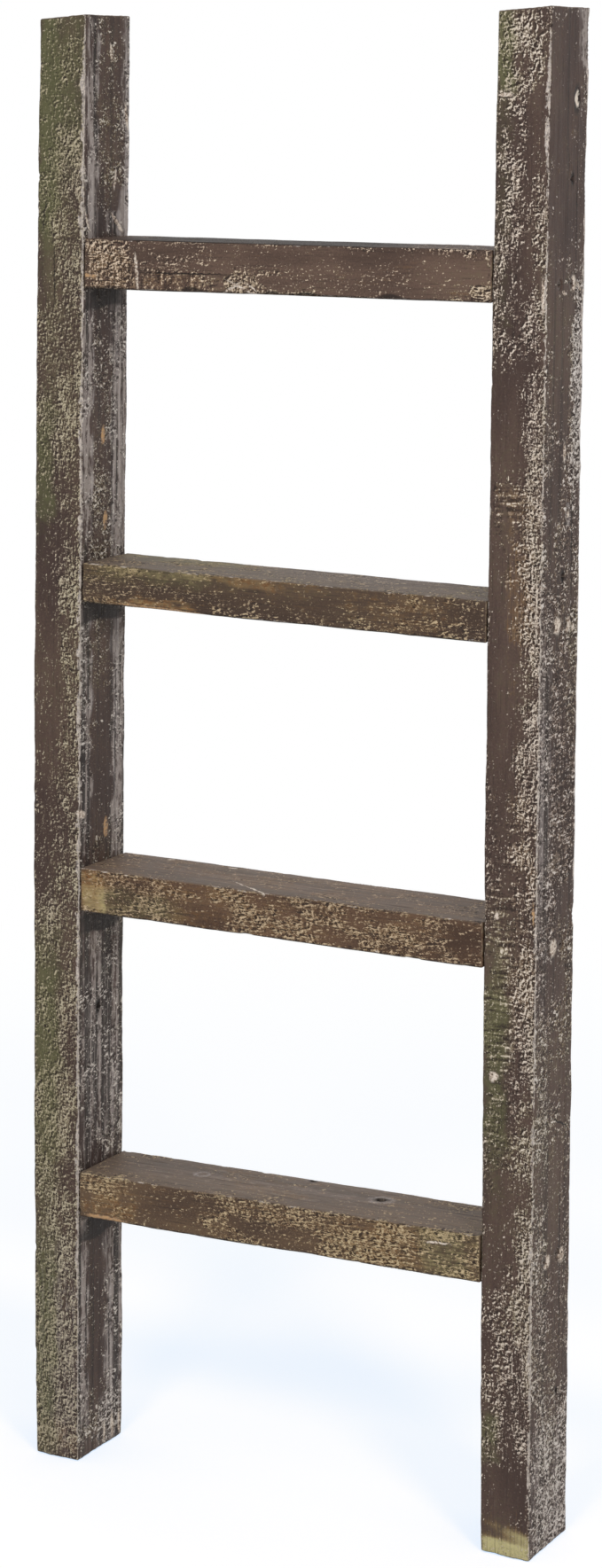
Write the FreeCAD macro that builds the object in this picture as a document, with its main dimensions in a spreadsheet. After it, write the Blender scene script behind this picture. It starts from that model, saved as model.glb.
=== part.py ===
"""Blanket ladder of reclaimed, rough-sawn timber.

Two stiles stand about 372 mm apart and four rungs are butted between them, flush
with their front and back faces.  Two countersunk wood screws hold each rung end:
they run through the stile from its outer side into the rung's end grain.  The
stock is old, so no two timbers are alike: the stiles are bowed and their tops are
sawn a little out of square, each rung has its own height and tilt, and the stiles
carry old nail holes, open knots, drying checks and knocked edges.

Frame: millimetres, +Z up, +X to the right, the front is -Y.  The origin is on the
floor, midway between the stiles and midway between their front and back faces.
"""
import FreeCAD, Part
import os

import Sketcher

Vector = FreeCAD.Vector
Rotation = FreeCAD.Rotation
Placement = FreeCAD.Placement

SIDES = ("left", "right")
START, END, CENTRE = 1, 2, 3        # places on a sketch line, arc or circle
ORIGIN, X_AXIS, Y_AXIS = (-1, 1), -1, -2

doc = FreeCAD.newDocument("blanket_ladder")
sheet = doc.addObject("Spreadsheet::Sheet", "Sizes")


# ---------------------------------------------------------------- driving sizes

STOCK = {
    "stile_depth": (73, "front face to back face of a stile"),
    "end_cut_rise": (4, "how much a sawn top climbs towards +X"),
    "rung_depth": (73, "front face to back face of a rung"),
    "rung_edge_round": (1.6, "worn long edges of a rung"),
    "foot_gap": (375, "between the stiles at the floor"),
    "crown_gap": (371.5, "between the stiles' blanks at their tops"),
    "crown_waste": (10, "sawn off a stile's blank above its high corner"),
    "butt_gap": (0.05, "running gap at each rung end"),
}

# A bow is how far an edge of the blank sags towards -X at half height.
STILES = {
    "left_stile_height": (1217, "floor to the low corner of the top"),
    "left_foot_width": (43, "across the front face at the floor"),
    "left_crown_width": (45, "across the front face at the top of the blank"),
    "left_inner_bow": (1.5, "inner edge"),
    "left_outer_bow": (4.1, "outer edge"),
    "right_stile_height": (1223, "floor to the low corner of the top"),
    "right_foot_width": (44, "across the front face at the floor"),
    "right_crown_width": (46.5, "across the front face at the top of the blank"),
    "right_inner_bow": (3.3, "inner edge"),
    "right_outer_bow": (1.4, "outer edge"),
}

RUNGS = {
    "top": {"level": 993.2, "height": 45.5, "rise": 1.5, "screw_drop": 6},
    "upper": {"level": 731.9, "height": 37.6, "rise": -3.5, "screw_drop": 4},
    "lower": {"level": 471.5, "height": 41.1, "rise": -1.8, "screw_drop": 3},
    "bottom": {"level": 210.3, "height": 42.3, "rise": 6.3, "screw_drop": 1},
}
RUNG_NOTES = {
    "level": "underside at the left end, above the floor",
    "height": "underside to top face",
    "rise": "right end above the left end",
    "screw_drop": "screws below mid height",
}

SCREWS = {
    "screw_length": (75, "head face to tip"),
    "screw_head": (8.3, "head diameter"),
    "screw_head_angle": (90, "full angle of the countersunk head, degrees"),
    "screw_shank": (4.2, "plain shank diameter"),
    "shank_length": (38, "head face to the end of the plain shank"),
    "screw_core": (2.9, "diameter under the thread"),
    "point_length": (5, "length of the point"),
    "screw_pitch": (23, "front screw to back screw"),
    "screw_recess": (1.6, "head face below the stile's outer face"),
    "drive_slot": (1.1, "width of the cross recess"),
    "drive_span": (4.4, "length of the cross recess"),
    "drive_depth": (1.7, "depth of the cross recess"),
    "screw_clearance": (0.05, "all round a screw in its hole"),
    "tip_clearance": (3, "pilot hole beyond the tip"),
    "cutter_overrun": (0.6, "how far a cutter starts outside a face"),
}

OLD_WOUNDS = {
    "nail_bore": (3.4, "diameter of an old nail hole"),
    "nail_reach": (16, "depth of an old nail hole"),
    "check_end_width": (0.2, "opening at the two ends of a drying check"),
}

# The old marks of the stiles.  A level is above the floor, and an inset is behind
# the front face.  Nail holes and checks are in the outer face of the right stile.
MARK_NOTES = {
    "level": "above the floor",
    "inset": "behind the front face",
    "bore": "diameter of the open heart",
    "depth": "into the timber",
    "low": "lower end above the floor",
    "high": "upper end above the floor",
    "low_inset": "lower end behind the front face",
    "high_inset": "upper end behind the front face",
    "width": "widest opening",
    "length": "along the edge",
}
NAIL_HOLES = {
    "crown_nail": {"level": 1093, "inset": 43},
    "middle_nail": {"level": 783, "inset": 38},
    "foot_nail": {"level": 124, "inset": 48},
}
CHECKS = {
    "middle_check": {
        "low": 748, "high": 868, "low_inset": 55.5, "high_inset": 51.5,
        "width": 1.0, "depth": 6,
    },
    "foot_check": {
        "low": 129, "high": 290, "low_inset": 54.4, "high_inset": 49,
        "width": 1.1, "depth": 7,
    },
}
KNOTS = {
    "crown_knot": {"level": 1155, "inset": 49, "bore": 6.5, "depth": 2.5},
    "inner_knot": {"level": 386, "inset": 31, "bore": 7, "depth": 5},
}
CHIPS = {
    "crown_chip": {"level": 1200, "length": 46, "depth": 3.2},
    "low_chip": {"level": 508, "length": 17, "depth": 2.4},
    "inner_chip": {"level": 812, "length": 60, "depth": 2.2},
}

# Which marks each stile carries, and the edge or face that they are on.
MARKED_FACE = {"left": "inner", "right": "outer"}
MARKS = {
    "left": ("inner_knot", "inner_chip"),
    "right": ("crown_knot", "crown_chip", "low_chip") + tuple(NAIL_HOLES) + tuple(CHECKS),
}


def fill_sheet():
    """Write one row a size: its name, its value under an alias, and what it is."""
    rows = {**STOCK, **STILES, **SCREWS, **OLD_WOUNDS}
    for rung, sizes in RUNGS.items():
        for size, value in sizes.items():
            rows[f"{rung}_rung_{size}"] = (value, RUNG_NOTES[size])
    for mark, sizes in {**NAIL_HOLES, **CHECKS, **KNOTS, **CHIPS}.items():
        for size, value in sizes.items():
            rows[f"{mark}_{size}"] = (value, MARK_NOTES[size])
    for number, (alias, (value, note)) in enumerate(rows.items(), start=1):
        sheet.set(f"A{number}", alias)
        sheet.set(f"B{number}", str(value))
        sheet.set(f"C{number}", note)
        sheet.setAlias(f"B{number}", alias)
    doc.recompute()


def value_of(expression):
    """What an expression comes to now, as a plain number."""
    return float(sheet.evalExpression(expression))


# ------------------------------------------- places, as expressions on the sheet

def blank_height(side):
    """Height of the timber that a stile is sawn from."""
    return f"(Sizes.{side}_stile_height + Sizes.end_cut_rise + Sizes.crown_waste)"


def edge_end(side, edge, end):
    """X of a stile's inner or outer edge at its foot or at the blank's crown."""
    sign = "-" if side == "left" else ""
    width = f" + Sizes.{side}_{end}_width" if edge == "outer" else ""
    return f"({sign}(Sizes.{end}_gap / 2{width}))"


def edge_at(side, edge, level):
    """X of a stile's inner or outer edge at a level: a straight lean and a bow."""
    foot, crown = edge_end(side, edge, "foot"), edge_end(side, edge, "crown")
    share = f"(({level}) / {blank_height(side)})"
    bow = f"Sizes.{side}_{edge}_bow * (1 - (2 * {share} - 1) ^ 2)"
    return f"{foot} + ({crown} - {foot}) * {share} - {bow}"


def outside(side, edge, level, distance):
    """X of a point that lies outside a stile's face by a distance."""
    faces_right = (side == "right") == (edge == "outer")
    return f"{edge_at(side, edge, level)} {'+' if faces_right else '-'} {distance}"


def rung_underside(rung, side):
    """Level of a rung's underside where it meets a stile."""
    rise = f" + Sizes.{rung}_rung_rise" if side == "right" else ""
    return f"Sizes.{rung}_rung_level{rise}"


def screw_level(rung, side):
    """Level of the two screws at one end of a rung."""
    middle = f"Sizes.{rung}_rung_height / 2 - Sizes.{rung}_rung_screw_drop"
    return f"{rung_underside(rung, side)} + {middle}"


def behind_front(inset):
    """Y of a place that is given by its distance behind the front face."""
    return f"{inset} - Sizes.stile_depth / 2"


# ----------------------------------------------------------------- sketch tools

def origin_feature(body, role):
    """One of the body's own origin planes or axes."""
    return [item for item in body.Origin.OriginFeatures if item.Role == role][0]


def new_body(label):
    """A body for one sub-part, which is also one file."""
    body = doc.addObject("PartDesign::Body", label)
    body.Label = label
    return body


def new_sketch(body, name, role, offset=None):
    """A sketch on an origin plane, offset along the plane's normal."""
    sketch = body.newObject("Sketcher::SketchObject", name)
    sketch.AttachmentSupport = [(origin_feature(body, role), "")]
    sketch.MapMode = "FlatFace"
    if offset:
        sketch.setExpression("AttachmentOffset.Base.z", offset)
    return sketch


def constrain(sketch, kind, *where):
    """Add one constraint."""
    return sketch.addConstraint(Sketcher.Constraint(kind, *where))


def hold_size(sketch, kind, line, size):
    """Tie a radius or diameter to the sheet."""
    number = constrain(sketch, kind, line, value_of(size))
    sketch.setExpression(f"Constraints[{number}]", size)


def hold_point(sketch, line, place, x, y):
    """Tie a point's two distances from the origin to the sheet."""
    for kind, axis, distance in (("DistanceX", Y_AXIS, x), ("DistanceY", X_AXIS, y)):
        if distance == "0":
            constrain(sketch, "PointOnObject", line, place, axis)
        else:
            number = constrain(sketch, kind, *ORIGIN, line, place, value_of(distance))
            sketch.setExpression(f"Constraints[{number}]", distance)


def point(x, y):
    """A sketch point where two expressions put it now."""
    return Vector(value_of(x), value_of(y), 0)


def add_polygon(sketch, corners):
    """A closed outline of straight lines through corners given as expressions."""
    points = [point(x, y) for x, y in corners]
    lines = []
    for start, end in zip(points, points[1:] + points[:1]):
        lines.append(sketch.addGeometry(Part.LineSegment(start, end), False))
    for line, following in zip(lines, lines[1:] + lines[:1]):
        constrain(sketch, "Coincident", line, END, following, START)
    for line, (x, y) in zip(lines, corners):
        hold_point(sketch, line, START, x, y)


def add_circle(sketch, x, y, diameter):
    """A circle whose centre and diameter are expressions."""
    size = value_of(diameter) / 2
    circle = Part.Circle(point(x, y), Vector(0, 0, 1), size)
    number = sketch.addGeometry(circle, False)
    hold_point(sketch, number, CENTRE, x, y)
    hold_size(sketch, "Diameter", number, diameter)


def add_arc(sketch, start, end, bow):
    """An arc from start to end that bows towards -X, and its places for the two."""
    low, high = point(*start), point(*end)
    middle = (low + high) / 2 - Vector(value_of(bow), 0, 0)
    arc = sketch.addGeometry(Part.Arc(low, middle, high), False)
    is_turned = sketch.getPoint(arc, START).y > middle.y
    places = (END, START) if is_turned else (START, END)
    run = f"(({end[1]}) - ({start[1]})) ^ 2 + (({end[0]}) - ({start[0]})) ^ 2"
    hold_size(sketch, "Radius", arc, f"({run}) / (8 * {bow}) + {bow} / 2")
    return arc, places


def finish_cut(body, feature, before):
    """Recompute a cut and stop if it removed nothing."""
    doc.recompute()
    if feature.Shape.Volume >= before:
        raise RuntimeError(f"{feature.Name} cuts nothing from {body.Label}")


def cut_pocket(body, name, sketch, length, reverse):
    """A pocket of one length from a sketch that starts outside the timber."""
    before = body.Tip.Shape.Volume
    pocket = body.newObject("PartDesign::Pocket", name)
    pocket.Profile = sketch
    pocket.Reversed = reverse
    pocket.setExpression("Length", length)
    finish_cut(body, pocket, before)
    return pocket


def saw_timber(body, sketch, depth):
    """Pad a front outline evenly to the front and back."""
    timber = body.newObject("PartDesign::Pad", body.Label + "_timber")
    timber.Profile = sketch
    timber.SideType = "Symmetric"
    timber.setExpression("Length", depth)
    doc.recompute()
    return timber


def wear_long_edges(body, timber):
    """Round the edges that run a rung's length along its front and back."""
    half_depth = value_of("Sizes.rung_depth") / 2
    worn = []
    for number, edge in enumerate(timber.Shape.Edges, start=1):
        ends = [vertex.Point for vertex in edge.Vertexes]
        along_face = abs(ends[0].y - ends[-1].y) < 1e-4
        at_face = abs(abs(ends[0].y) - half_depth) < 1e-4
        if along_face and at_face and edge.Length > half_depth * 3:
            worn.append(f"Edge{number}")
    rounding = body.newObject("PartDesign::Fillet", body.Label + "_worn_edges")
    rounding.Base = (timber, worn)
    rounding.setExpression("Radius", "Sizes.rung_edge_round")
    doc.recompute()


# ------------------------------------------------------------------- the stiles

def blank_outline(body, side):
    """Front outline of a stile's blank: level at both ends between two bowed edges."""
    sketch = new_sketch(body, body.Label + "_outline", "XZ_Plane")
    feet, crowns = {}, {}
    for edge in ("inner", "outer"):
        foot = (edge_end(side, edge, "foot"), "0")
        crown = (edge_end(side, edge, "crown"), blank_height(side))
        arc, places = add_arc(sketch, foot, crown, f"Sizes.{side}_{edge}_bow")
        feet[edge], crowns[edge] = (arc, places[0]), (arc, places[1])
        hold_point(sketch, *feet[edge], *foot)
        hold_point(sketch, *crowns[edge], *crown)
    for ends in (feet, crowns):
        start = sketch.getPoint(*ends["inner"])
        end = sketch.getPoint(*ends["outer"])
        line = sketch.addGeometry(Part.LineSegment(start, end), False)
        constrain(sketch, "Coincident", line, START, *ends["inner"])
        constrain(sketch, "Coincident", line, END, *ends["outer"])
    return sketch


def saw_crown(body, side):
    """Cut the blank to length with a saw line that climbs towards +X."""
    over, rise = "Sizes.cutter_overrun", "Sizes.end_cut_rise"
    edges = ("outer", "inner") if side == "left" else ("inner", "outer")
    low = f"Sizes.{side}_stile_height"
    high = f"{low} + {rise}"
    climb = f"{over} * {rise} / Sizes.{side}_crown_width"
    start = f"{edge_at(side, edges[0], low)} - {over}"
    end = f"{edge_at(side, edges[1], high)} + {over}"
    above = f"{blank_height(side)} + {over}"
    sketch = new_sketch(body, body.Label + "_saw_line", "XZ_Plane")
    add_polygon(sketch, [
        (start, f"{low} - {climb}"),
        (end, f"{high} + {climb}"),
        (end, above),
        (start, above),
    ])
    before = body.Tip.Shape.Volume
    cut = body.newObject("PartDesign::Pocket", body.Label + "_crown")
    cut.Profile = sketch
    cut.SideType = "Symmetric"
    cut.setExpression("Length", f"Sizes.stile_depth + 2 * {over}")
    finish_cut(body, cut, before)


def screw_centres(body, name, rung, side, start, bore):
    """Sketch of two circles where one rung end's screws cross a stile's face."""
    level = screw_level(rung, side)
    sketch = new_sketch(body, name, "YZ_Plane", start)
    for step in (-1, 1):
        add_circle(sketch, f"{step} * Sizes.screw_pitch / 2", level, bore)
    return sketch


def screw_holes(body, side, rung):
    """Two counterdrilled holes that take one rung end's screws through the stile."""
    start = outside(side, "outer", screw_level(rung, side), "Sizes.cutter_overrun")
    bore = "Sizes.screw_shank + 2 * Sizes.screw_clearance"
    name = f"{body.Label}_{rung}_screw"
    sketch = screw_centres(body, name + "_centres", rung, side, start, bore)
    before = body.Tip.Shape.Volume
    hole = body.newObject("PartDesign::Hole", name + "_holes")
    hole.Profile = sketch
    doc.recompute()
    hole.ThreadType = "None"
    hole.HoleCutType = "Counterdrill"
    hole.HoleCutCustomValues = True
    hole.DepthType = "ThroughAll"
    hole.Reversed = side == "left"
    hole.setExpression("Diameter", bore)
    hole.setExpression("HoleCutDiameter", "Sizes.screw_head + 2 * Sizes.screw_clearance")
    hole.setExpression("HoleCutDepth", "Sizes.cutter_overrun + Sizes.screw_recess")
    hole.setExpression("HoleCutCountersinkAngle", "Sizes.screw_head_angle")
    finish_cut(body, hole, before)


def round_mark(body, mark, side, bore, depth):
    """An old nail hole or open knot, sunk square into the stile's marked face."""
    edge = MARKED_FACE[side]
    level = f"Sizes.{mark}_level"
    start = outside(side, edge, level, "Sizes.cutter_overrun")
    sketch = new_sketch(body, mark + "_outline", "YZ_Plane", start)
    add_circle(sketch, behind_front(f"Sizes.{mark}_inset"), level, bore)
    length = f"{depth} + Sizes.cutter_overrun"
    cut_pocket(body, mark, sketch, length, reverse=False)


def drying_check(body, mark, side):
    """A long crack along the grain: widest at half length, nearly closed at its ends."""
    low, high = f"Sizes.{mark}_low", f"Sizes.{mark}_high"
    foot = behind_front(f"Sizes.{mark}_low_inset")
    head = behind_front(f"Sizes.{mark}_high_inset")
    middle, half_way = f"(({foot}) + ({head})) / 2", f"({low} + {high}) / 2"
    start = outside(side, MARKED_FACE[side], half_way, "Sizes.cutter_overrun")
    sketch = new_sketch(body, mark + "_outline", "YZ_Plane", start)
    half_width, half_end = f"Sizes.{mark}_width / 2", "Sizes.check_end_width / 2"
    front = [(f"{foot} - {half_end}", low), (f"{middle} - {half_width}", half_way),
             (f"{head} - {half_end}", high)]
    back = [(f"{head} + {half_end}", high), (f"{middle} + {half_width}", half_way),
            (f"{foot} + {half_end}", low)]
    add_polygon(sketch, front + back)
    length = f"Sizes.{mark}_depth + Sizes.cutter_overrun"
    cut_pocket(body, mark, sketch, length, reverse=False)


def edge_chip(body, mark, side):
    """A scoop knocked off a back corner: a wide cylinder laid across the corner."""
    edge = MARKED_FACE[side]
    level, length = f"Sizes.{mark}_level", f"Sizes.{mark}_length"
    depth = f"Sizes.{mark}_depth"
    radius = f"({length} ^ 2 / (8 * {depth}) + {depth} / 2)"
    axis_out = f"(({radius} - {depth}) / sqrt(2))"
    half_length = f"({length} / 2 / sqrt(2))"
    before = body.Tip.Shape.Volume
    scoop = body.newObject("PartDesign::SubtractiveCylinder", mark)
    scoop.AttachmentSupport = [(origin_feature(body, "XY_Plane"), "")]
    scoop.MapMode = "FlatFace"
    across_corner = Rotation(Vector(0, 0, 1), Vector(1, -1, 0))
    scoop.AttachmentOffset = Placement(Vector(), across_corner)
    scoop.setExpression("Radius", radius)
    scoop.setExpression("Height", length)
    start_x = f"{edge_at(side, edge, level)} + {axis_out} - {half_length}"
    start_y = f"Sizes.stile_depth / 2 + {axis_out} + {half_length}"
    scoop.setExpression("AttachmentOffset.Base.x", start_x)
    scoop.setExpression("AttachmentOffset.Base.y", start_y)
    scoop.setExpression("AttachmentOffset.Base.z", level)
    finish_cut(body, scoop, before)


def make_stile(side):
    """One upright: outline, sawn crown, screw holes and its own old marks."""
    body = new_body(f"{side}_stile")
    saw_timber(body, blank_outline(body, side), "Sizes.stile_depth")
    saw_crown(body, side)
    for rung in RUNGS:
        screw_holes(body, side, rung)
    for mark in MARKS[side]:
        if mark in NAIL_HOLES:
            round_mark(body, mark, side, "Sizes.nail_bore", "Sizes.nail_reach")
        elif mark in KNOTS:
            round_mark(body, mark, side, f"Sizes.{mark}_bore", f"Sizes.{mark}_depth")
        elif mark in CHECKS:
            drying_check(body, mark, side)
        else:
            edge_chip(body, mark, side)
    return body


# -------------------------------------------------------------------- the rungs

def rung_outline(body, rung):
    """Front outline: a tilted bar whose ends follow the stiles' inner edges."""
    sketch = new_sketch(body, body.Label + "_outline", "XZ_Plane")
    height = f" + Sizes.{rung}_rung_height"
    corners = []
    for side, above in (("left", ""), ("right", ""), ("right", height), ("left", height)):
        level = rung_underside(rung, side) + above
        corners.append((outside(side, "inner", level, "Sizes.butt_gap"), level))
    add_polygon(sketch, corners)
    return sketch


def pilot_holes(body, rung, side):
    """Two pilot holes in the end grain for the threaded half of the screws."""
    level = screw_level(rung, side)
    face = edge_at(side, "inner", level)
    width = f"abs(({edge_at(side, 'outer', level)}) - ({face}))"
    bore = "Sizes.screw_core + 2 * Sizes.screw_clearance"
    name = f"{body.Label}_{side}_pilot"
    sketch = screw_centres(body, name + "_centres", rung, side, face, bore)
    reach = f"Sizes.screw_recess + Sizes.screw_length - {width} + Sizes.tip_clearance"
    cut_pocket(body, name + "_holes", sketch, reach, reverse=side == "left")


def make_rung(rung):
    """One crosspiece: outline, worn edges and a pair of pilot holes at each end."""
    body = new_body(f"{rung}_rung")
    timber = saw_timber(body, rung_outline(body, rung), "Sizes.rung_depth")
    wear_long_edges(body, timber)
    for side in SIDES:
        pilot_holes(body, rung, side)
    return body


# ------------------------------------------------------------------- the screws

def screw_section(body):
    """Half section of a countersunk wood screw: head face at 0, point towards -X."""
    sketch = new_sketch(body, body.Label + "_section", "XZ_Plane")
    head, shank, core = "Sizes.screw_head / 2", "Sizes.screw_shank / 2", "Sizes.screw_core / 2"
    taper = f"({head} - {shank}) / tan(Sizes.screw_head_angle * 1 deg / 2)"
    add_polygon(sketch, [
        ("0", "0"),
        ("0", head),
        (f"-({taper})", shank),
        ("-Sizes.shank_length", shank),
        ("-Sizes.shank_length", core),
        ("-(Sizes.screw_length - Sizes.point_length)", core),
        ("-Sizes.screw_length", "0"),
    ])
    return sketch


def cross_recess(body):
    """Two crossed slots in the head face for the driver."""
    slot, span = "Sizes.drive_slot / 2", "Sizes.drive_span / 2"
    recesses = []
    for name, across, up in (("upright", slot, span), ("level", span, slot)):
        sketch = new_sketch(body, f"{body.Label}_{name}_slot", "YZ_Plane")
        add_polygon(sketch, [
            (f"-{across}", f"-{up}"),
            (across, f"-{up}"),
            (across, up),
            (f"-{across}", up),
        ])
        slot_name = f"{body.Label}_{name}_recess"
        depth = "Sizes.drive_depth"
        recesses.append(cut_pocket(body, slot_name, sketch, depth, reverse=False))
    return recesses


def make_screw_pair(rung, side):
    """The two screws of one rung end, side by side across the stile's depth."""
    body = new_body(f"{rung}_rung_{side}_screws")
    turned = body.newObject("PartDesign::Revolution", body.Label + "_turned")
    turned.Profile = screw_section(body)
    turned.ReferenceAxis = (origin_feature(body, "X_Axis"), [""])
    turned.Angle = 360
    doc.recompute()
    recesses = cross_recess(body)
    pair = body.newObject("PartDesign::LinearPattern", body.Label + "_pair")
    pair.Originals = [turned] + recesses
    pair.Direction = (origin_feature(body, "Y_Axis"), [""])
    pair.Occurrences = 2
    pair.setExpression("Length", "Sizes.screw_pitch")
    body.Tip = pair
    turn = 180 if side == "left" else 0
    body.Placement.Rotation = Rotation(Vector(0, 0, 1), turn)
    level = screw_level(rung, side)
    first_screw = "Sizes.screw_pitch / 2" if side == "left" else "-Sizes.screw_pitch / 2"
    body.setExpression("Placement.Base.x", outside(side, "outer", level, "-Sizes.screw_recess"))
    body.setExpression("Placement.Base.y", first_screw)
    body.setExpression("Placement.Base.z", level)
    doc.recompute()
    return body


# ------------------------------------------------------------- build and write

def check_document():
    """Stop if any object of the document failed."""
    for item in doc.Objects:
        if "Invalid" in item.State or "Error" in item.State:
            raise RuntimeError(f"{item.Name} is {item.State}")


def check_shape(body, solids):
    """Stop if a sub-part is empty, invalid or in the wrong number of solids."""
    shape = body.Shape
    if shape.isNull() or not shape.isValid() or len(shape.Solids) != solids:
        raise RuntimeError(f"{body.Label} isn't {solids} valid solid(s)")


fill_sheet()
timbers = [make_stile(side) for side in SIDES] + [make_rung(rung) for rung in RUNGS]
screw_pairs = [make_screw_pair(rung, side) for rung in RUNGS for side in SIDES]
doc.recompute()
check_document()
for body in timbers:
    check_shape(body, solids=1)
for body in screw_pairs:
    check_shape(body, solids=2)

os.makedirs("parts", exist_ok=True)
for body in timbers + screw_pairs:
    body.Shape.exportStep(f"parts/{body.Label}.step")
    print(f"{body.Label:26s} {body.Shape.Volume / 1000:8.2f} cm3")
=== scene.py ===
# %% [markdown]
# # A blanket ladder of reclaimed timber
#
# The real thing is six rough-sawn timbers and sixteen wood screws.  The packed model already has
# every piece at its true size and place, so this lesson is about looks: how to turn clean CAD
# solids into old timber with flaking paint, green weathering, saw marks, checks and knots.
# We start by loading the model.

# %% Load the packed ladder
import math

import bpy
import numpy as np
from mathutils import Matrix, Vector


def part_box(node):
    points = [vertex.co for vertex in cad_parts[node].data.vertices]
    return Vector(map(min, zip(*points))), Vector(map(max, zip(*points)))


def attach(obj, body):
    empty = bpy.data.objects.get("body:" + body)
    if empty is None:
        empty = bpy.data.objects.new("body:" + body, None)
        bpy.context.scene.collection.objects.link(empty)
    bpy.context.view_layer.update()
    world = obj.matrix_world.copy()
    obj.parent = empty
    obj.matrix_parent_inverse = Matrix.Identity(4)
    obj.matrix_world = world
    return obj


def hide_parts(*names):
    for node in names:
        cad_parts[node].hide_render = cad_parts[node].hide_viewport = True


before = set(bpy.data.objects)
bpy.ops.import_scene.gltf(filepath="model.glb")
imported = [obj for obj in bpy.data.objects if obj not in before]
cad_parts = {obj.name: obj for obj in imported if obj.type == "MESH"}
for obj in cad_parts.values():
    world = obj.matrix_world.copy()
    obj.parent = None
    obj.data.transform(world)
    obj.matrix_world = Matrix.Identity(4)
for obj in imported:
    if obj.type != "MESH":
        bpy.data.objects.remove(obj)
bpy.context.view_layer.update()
scene = bpy.context.scene
scene.view_settings.view_transform = "Standard"
MM = 0.001
print("pieces in the packed model:", len(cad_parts))

# %% [markdown]
# ## The camera
#
# The ladder was photographed from its right, slightly above its top rung, and the picture was
# cropped low, so the lens looks nearly level and the frame is shifted down instead of tilted.
# The numbers come from fitting the corners of the timbers; the rest of the script also uses them
# to find which point of a timber lies under a pixel of the photograph.

# %% Place the camera
PHOTO_WIDTH, PHOTO_HEIGHT = 679, 1769
SENSOR = 36.0                           # millimetres
FOCAL_PX = 4004.0                       # focal length, in pixels of the photograph
CENTRE_U, CENTRE_V = 339.5, 418.0       # the pixel that the lens points at
CAMERA_PLACE = Vector((1.3515, -2.5260, 1.1656))
YAW, PITCH, ROLL = math.radians(28.19), math.radians(4.63), math.radians(0.51)

ahead = Vector((-math.sin(YAW) * math.cos(PITCH),
                math.cos(YAW) * math.cos(PITCH), -math.sin(PITCH)))
level = Vector((math.cos(YAW), math.sin(YAW), 0.0))
upright = level.cross(ahead)
camera_x = math.cos(ROLL) * level + math.sin(ROLL) * upright
camera_y = math.cos(ROLL) * upright - math.sin(ROLL) * level
turn = Matrix((camera_x, camera_y, -ahead)).transposed().to_4x4()

lens = bpy.data.cameras.new("camera")
lens.sensor_width = SENSOR
lens.lens = FOCAL_PX * SENSOR / PHOTO_HEIGHT
lens.shift_x = (PHOTO_WIDTH / 2 - CENTRE_U) / PHOTO_HEIGHT
lens.shift_y = (CENTRE_V - PHOTO_HEIGHT / 2) / PHOTO_HEIGHT
lens.clip_end = 50.0
camera = bpy.data.objects.new("camera", lens)
camera.matrix_world = Matrix.Translation(CAMERA_PLACE) @ turn
scene.collection.objects.link(camera)
scene.camera = camera
print(f"lens {lens.lens:.1f} mm, shifted {lens.shift_y:.3f} down the frame")

# %% [markdown]
# ## Sums on sockets
#
# Old timber needs a lot of shader maths.  Written as nodes one by one it would be unreadable, so
# a socket is wrapped in a small class: `a * b + 1` then adds the Math nodes by itself.  The same
# class works in a geometry tree, because both kinds of tree share these nodes.  Every node comes
# from one method of the board that the sockets belong to.

# %% A socket that can be added, multiplied and compared
def operator(operation, swapped=False):
    """A method for a sum of two wires, or of a wire and a number, as one Math node."""
    def method(self, other):
        first, second = (other, self) if swapped else (self, other)
        return self.board.node("ShaderNodeMath", {"operation": operation}, {0: first, 1: second})
    return method


class Wire:
    """An output socket; a sum on it adds Math nodes to its tree."""

    def __init__(self, board, socket):
        self.board, self.socket = board, socket

    __add__, __radd__ = operator("ADD"), operator("ADD", swapped=True)
    __sub__, __rsub__ = operator("SUBTRACT"), operator("SUBTRACT", swapped=True)
    __mul__, __rmul__ = operator("MULTIPLY"), operator("MULTIPLY", swapped=True)
    __or__, __and__ = operator("MAXIMUM"), operator("MINIMUM")      # the larger, the smaller mask

    def __abs__(self):
        return self.board.node("ShaderNodeMath", {"operation": "ABSOLUTE"}, {0: self})

    def step(self, low, high, start=0.0, end=1.0):
        """A smooth step from start to end as this wire climbs from low to high."""
        inputs = {0: self, 1: low, 2: high, 3: start, 4: end}
        return self.board.node("ShaderNodeMapRange", {"interpolation_type": "SMOOTHSTEP"}, inputs)

    def vector(self, operation, other=(0.0, 0.0, 0.0), output=0):
        """Vector maths on this wire and another vector."""
        settings = {"operation": operation}
        return self.board.node("ShaderNodeVectorMath", settings, {0: self, 1: other}, output)

    def stretched(self, along, across=1.0):
        """Points scaled so that a pattern on them runs along the grain (a small first number)."""
        return self.vector("MULTIPLY", (along, across, across))

    def length(self):
        return self.vector("LENGTH", output=1)

    def split(self):
        return [self.board.node("ShaderNodeSeparateXYZ", None, {0: self}, axis)
                for axis in range(3)]

    def noise(self, scale, detail=2.0, roughness=0.5, distortion=0.0, output=0):
        """Noise at these points; output 1 is a colour, three noises in one."""
        inputs = {"Vector": self, "Scale": scale, "Detail": detail,
                  "Roughness": roughness, "Distortion": distortion}
        return self.board.node("ShaderNodeTexNoise", None, inputs, output)


print("a socket knows", sum(callable(part) for part in vars(Wire).values()), "operations")

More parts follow.
